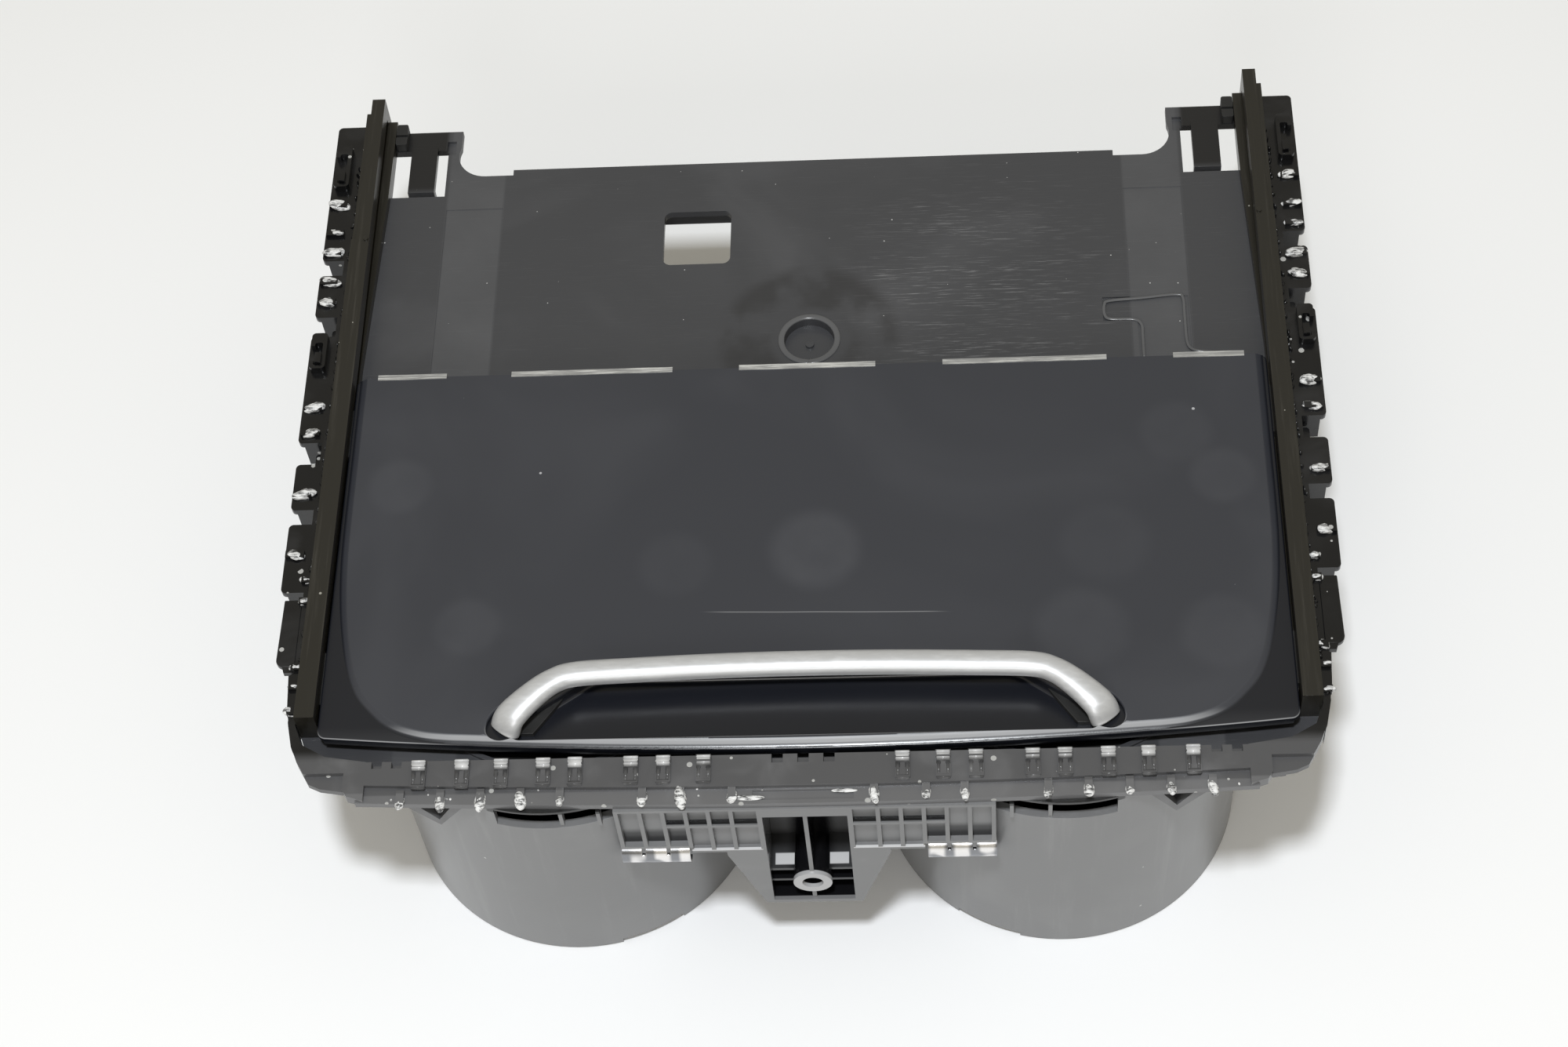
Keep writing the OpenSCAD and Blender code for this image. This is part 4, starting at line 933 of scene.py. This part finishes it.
def oval(x, y, long_r, short_r, turn, count=48):
    points = []
    for i in range(count):
        a = 2 * math.pi * i / count
        u, v = long_r * math.cos(a), short_r * math.sin(a)
        points.append((x + u * math.cos(turn) - v * math.sin(turn),
                       y + u * math.sin(turn) + v * math.cos(turn)))
    return points


def socket_cutter(side):
    """Oval pocket that the end of the handle plunges into."""
    turn = math.radians(140 if side > 0 else 40)
    x, y = side * 67.6, -0.2
    rings = [(0.0, LID_TOP - 1.5), (0.0, LID_TOP - 0.5), (0.15, LID_TOP - 0.2), (0.5, LID_TOP),
             (0.5, LID_TOP + 2)]
    return solid("socket_cutter", [at_height(oval(x, y, 6.6 + d, 4.3 + d, turn), z) for d, z in rings])


def make_lid():
    cover = lid_body()
    cut_with(cover, lid_front_face(), "UNION")
    cut_with(cover, pan_block(), "UNION")
    cut_with(cover, recess_cutter(), "DIFFERENCE")
    for side in (-1, 1):
        cut_with(cover, socket_cutter(side), "DIFFERENCE")
    mesh = cover.data
    bpy.data.objects.remove(cover)
    work = bmesh.new()
    work.from_mesh(mesh)
    bmesh.ops.remove_doubles(work, verts=work.verts, dist=2e-6)
    bmesh.ops.dissolve_degenerate(work, edges=work.edges, dist=1e-6)
    work.to_mesh(mesh)
    work.free()
    shade_smooth(mesh, 38)
    piece = new_piece("lid_cover", mesh, "lid", FINISHES["lid_satin"], ["lid_panel"])
    even = piece.modifiers.new("even_shading", "WEIGHTED_NORMAL")
    even.keep_sharp = True


# --- Handle --------------------------------------------------------------------------

def make_handle():
    """Bar of soft-cornered section, swept from one socket to the other."""
    half = [(69.0, -2.4, LID_TOP - 1.4), (67.3, -0.3, LID_TOP + 1.6), (62.4, 4.2, LID_TOP + 3.0),
            (57.6, 7.6, LID_TOP + 3.5), (52.4, 9.2, LID_TOP + 3.6), (40, 9.8, LID_TOP + 3.7),
            (20, 10.4, LID_TOP + 3.8)]
    knots = [Vector(p) for p in half] + [Vector((0, 10.6, LID_TOP + 3.8))]
    knots += [Vector((-x, y, z)) for x, y, z in reversed(half)]
    line = smooth_line(knots, 14)
    work = bmesh.new()
    sweep(work, line, lambda p: 3.0 + 0.8 * max(0.0, min(1.0, (abs(p.x) - 57) / 11)) ** 1.3, 2.35)
    new_piece("handle_bar", mesh_of("handle_bar", work), "lid",
              FINISHES["handle_silver"], ["handle"])


# --- Rims on the floor plate ----------------------------------------------------------

def make_plate_rims():
    """Rolled rim round the gate pit and the raised outline of the sunk pad."""
    kit = Finish("rim_grey", (0.1, 0.101, 0.106), 0.22)
    z = PLATE_TOP + 0.05
    work = bmesh.new()
    circle = [Vector((7.1 * math.cos(a), PIT_Y + 7.1 * math.sin(a), z))
              for a in (math.radians(-90 + 360 * i / 60) for i in range(61))]
    sweep(work, circle, lambda p: 0.8, 0.4, 16)
    outline = [(83.6, -9), (83.6, -2), (83.5, 1.6), (81.6, 3.3), (76, 3.6), (74.5, 4.8), (74.5, 8.2), (76, 9.4),
               (84, 10), (92.6, 10.8), (94.3, 9.6), (94.4, 4), (94.5, -4), (95.8, -6.6), (99, -7.4), (104, -8)]
    line = smooth_line([Vector((x, PIT_Y + y, z - 0.1)) for x, y in outline], 6)
    sweep(work, line, lambda p: 0.42, 0.28, 10)
    new_piece("plate_rims", mesh_of("plate_rims", work), "frame", kit.material)


# --- Repeated bits, by geometry nodes -------------------------------------------------

def bits_tree():
    """Ragged lumps on the vertices of a mesh: one stretched ball each, roughened by noise."""
    tree, given, out = group_of(
        "GeometryNodeTree", "ragged_bits",
        [("Geometry", "Geometry", None), ("Size", "Vector", (0.002, 0.001, 0.0006)), ("Seed", "Int", 1),
         ("Tear", "Float", 0.0004), ("Tear Scale", "Float", 900.0), ("Turn", "Float", 0.25),
         ("Detail", "Int", 3), ("Finish", "Material", None)],
        [("Geometry", "Geometry")])
    ball = put_node(tree, "GeometryNodeMeshIcoSphere", {"Radius": 1, "Subdivisions": given["Detail"]})
    back = math_node(tree, "MULTIPLY", given["Turn"], -1)
    turn = put_node(tree, "FunctionNodeRandomValue", {"Min": back, "Max": given["Turn"], "Seed": given["Seed"]},
                    data_type="FLOAT_VECTOR")
    grow = put_node(tree, "FunctionNodeRandomValue",
                    {"Min": (0.75, 0.7, 0.7), "Max": (1.1, 1.25, 1.2), "Seed": given["Seed"]},
                    data_type="FLOAT_VECTOR")
    scale = put_node(tree, "ShaderNodeVectorMath", {0: grow.outputs["Value"], 1: given["Size"]},
                     operation="MULTIPLY")
    put = put_node(tree, "GeometryNodeInstanceOnPoints",
                   {"Points": given["Geometry"], "Instance": ball.outputs["Mesh"],
                    "Rotation": turn.outputs["Value"], "Scale": scale.outputs[0]})
    real = put_node(tree, "GeometryNodeRealizeInstances", {"Geometry": put.outputs["Instances"]})
    noise = put_node(tree, "ShaderNodeTexNoise", {"Detail": 3, "Scale": given["Tear Scale"]})
    centred = put_node(tree, "ShaderNodeVectorMath", {0: noise.outputs["Color"], 1: (0.5, 0.5, 0.5)},
                       operation="SUBTRACT")
    push = put_node(tree, "ShaderNodeVectorMath", {0: centred.outputs[0], "Scale": given["Tear"]},
                    operation="SCALE")
    move = put_node(tree, "GeometryNodeSetPosition",
                    {"Geometry": real.outputs["Geometry"], "Offset": push.outputs[0]})
    shade = put_node(tree, "GeometryNodeSetShadeSmooth", {"Geometry": move.outputs["Geometry"]})
    paint = put_node(tree, "GeometryNodeSetMaterial",
                     {"Geometry": shade.outputs["Geometry"], "Material": given["Finish"]})
    tree.links.new(paint.outputs["Geometry"], out["Geometry"])
    return tree


BITS = bits_tree()


def grow_from(tree, name, points, finish, **values):
    """One mesh of the frame, grown on the points by a tree and then made plain."""
    mesh = bpy.data.meshes.new(name + "_points")
    mesh.from_pydata([tuple(p) for p in points], [], [])
    host = add_object(name + "_points", mesh)
    modifier = host.modifiers.new("bits", "NODES")
    modifier.node_group = tree
    ids = {item.name: item.identifier for item in tree.interface.items_tree
           if item.item_type == "SOCKET" and item.in_out == "INPUT"}
    modifier[ids["Finish"]] = finish
    for label, value in values.items():
        modifier[ids[label.replace("_", " ")]] = value
    made = plain_mesh(host)
    bpy.data.objects.remove(host)
    made.name = name
    new_piece(name, made, "frame", None)


# Where the welds stood: y along the sides, and x along the front flange
SIDE_STUBS = [155, 145.6, 139.2, 129.6, 123.1, 90, 82.3, 64, 46.5]
WALL_STUBS = [39.3, 33.2, 15, 9.7, 3]
FLANGE_STUBS = [16.1, 27.8, 36.5, 55.3, 64.3, 73.5, 82.7, 92]
FLANGE_BOSSES = [22.6, 31.8, 39.2, 52, 59.3, 69, 78, 88]
STUB_ROW, BOSS_ROW = -20.7, -11.8


def make_torn_stubs():
    """The broken weld stubs on the side tabs, the narrow edge and the front flange."""
    tabs = [place(s * (WALL_IN + 4.6), y, FLANGE_TOP + 0.5) for s in (-1, 1) for y in SIDE_STUBS]
    grow_from(BITS, "torn_stubs_tabs", tabs, TORN, Size=(0.0029, 0.0013, 0.0008), Seed=4, Tear=0.0012,
              Tear_Scale=700.0, Turn=0.3)
    edge = [place(s * (WALL_IN + 1.4), y, FLANGE_TOP + 0.4) for s in (-1, 1) for y in WALL_STUBS]
    grow_from(BITS, "torn_stubs_edge", edge, TORN, Size=(0.0018, 0.001, 0.0008), Seed=9, Tear=0.0009,
              Tear_Scale=800.0, Turn=0.3)
    front = [place(s * x, STUB_ROW, FLANGE_TOP - 1.0) for s in (-1, 1) for x in FLANGE_STUBS]
    grow_from(BITS, "torn_stubs_front", front, TORN, Size=(0.0013, 0.0023, 0.0009), Seed=13, Tear=0.0006,
              Tear_Scale=800.0, Turn=0.25)


def boss_shape():
    """Small moulded boss: a soft frame round a slot, with a raised rear end."""
    work = bmesh.new()

    def bar(x0, x1, y0, y1, z0, z_front, z_rear):
        base = [work.verts.new((x, y, z0)) for x, y in ((x0, y0), (x1, y0), (x1, y1), (x0, y1))]
        top = [work.verts.new(corner) for corner in ((x0, y0, z_front), (x1, y0, z_front),
                                                     (x1, y1, z_rear), (x0, y1, z_rear))]
        work.faces.new(base[::-1])
        work.faces.new(top)
        for i in range(4):
            work.faces.new((base[i], base[(i + 1) % 4], top[(i + 1) % 4], top[i]))

    for side in (-1, 1):
        bar(*on_side(side, 0.55, 1.65), -5.2, -1.6, -0.6, 0.75, 1.0)
    bar(-1.65, 1.65, -6.1, -5.0, -0.6, 0.4, 0.85)
    bar(-1.65, 1.65, -1.9, 0.1, -0.6, 1.0, 1.95)
    bar(-1.65, 1.65, 0.05, 0.8, -0.6, 1.95, 1.7)
    bar(-0.7, 0.7, -5.2, -1.6, -0.6, 0.3, 0.45)
    bmesh.ops.scale(work, verts=work.verts, vec=(MM, MM, MM))
    bmesh.ops.bevel(work, geom=work.edges[:], offset=0.00016, segments=2, affect="EDGES", clamp_overlap=True)
    return loose("boss_shape", work)


def copies_tree():
    """The same shape on every vertex of a mesh, with a little uneven height."""
    tree, given, out = group_of(
        "GeometryNodeTree", "even_copies",
        [("Geometry", "Geometry", None), ("Shape", "Object", None), ("Seed", "Int", None),
         ("Finish", "Material", None)],
        [("Geometry", "Geometry")])
    shape = put_node(tree, "GeometryNodeObjectInfo", {"Object": given["Shape"]})
    grow = put_node(tree, "FunctionNodeRandomValue",
                    {"Min": (0.95, 0.97, 0.85), "Max": (1.03, 1.0, 1.05), "Seed": given["Seed"]},
                    data_type="FLOAT_VECTOR")
    put = put_node(tree, "GeometryNodeInstanceOnPoints",
                   {"Points": given["Geometry"], "Instance": shape.outputs["Geometry"],
                    "Scale": grow.outputs["Value"]})
    real = put_node(tree, "GeometryNodeRealizeInstances", {"Geometry": put.outputs["Instances"]})
    paint = put_node(tree, "GeometryNodeSetMaterial",
                     {"Geometry": real.outputs["Geometry"], "Material": given["Finish"]})
    tree.links.new(paint.outputs["Geometry"], out["Geometry"])
    return tree


def make_bosses():
    """The row of bosses along the front flange."""
    shape = boss_shape()
    points = [place(s * x, BOSS_ROW, FLANGE_TOP) for s in (-1, 1) for x in FLANGE_BOSSES]
    grow_from(copies_tree(), "flange_bosses", points, boss_grey(), Shape=shape, Seed=3)
    bpy.data.objects.remove(shape)


def make_flash():
    """Jagged black flash in the gap between each rail and the side wall."""
    rng = random.Random(21)
    points = []
    for side in (-1, 1):
        y = 12.0
        while y < 170:
            points.append(place(side * (WALL_IN + rng.uniform(-0.1, 0.7)), y,
                                FLANGE_TOP + rng.uniform(-0.2, 0.6)))
            y += rng.uniform(0.8, 3.2)
    grow_from(BITS, "wall_flash", points, FINISHES["gloss_black"], Size=(0.0004, 0.0008, 0.0006), Seed=5,
              Tear=0.0007, Tear_Scale=1300.0, Turn=0.8, Detail=2)


def make_droplets():
    """Small beads left by the hot tool on the flange."""
    rng = random.Random(8)
    points = [place(-17.5 + i * 1.5, -18.2, FLANGE_TOP - 1.05) for i in range(4)]
    points += [place(rng.uniform(-98, 98), -19 + rng.uniform(-1.6, 1.6), FLANGE_TOP - 1.15)
               for _ in range(14)]
    strips = [place(-12.5, -21.0, FLANGE_TOP - 1.15), place(9.4, -19.6, FLANGE_TOP - 1.15)]
    grow_from(BITS, "weld_strips", strips, TORN, Size=(0.0036, 0.0006, 0.00025), Seed=6, Tear=0.0003,
              Tear_Scale=600.0, Turn=0.05)
    grow_from(BITS, "weld_beads", points, TORN, Size=(0.0003, 0.0003, 0.0002), Seed=2, Tear=0.0001,
              Tear_Scale=1500.0, Turn=0.4, Detail=2)


set_camera()
set_lights()
make_floor()
dress_nodes()
make_frame()
make_bracket()
make_lid()
make_handle()
make_plate_rims()
make_torn_stubs()
make_bosses()
make_flash()
make_droplets()
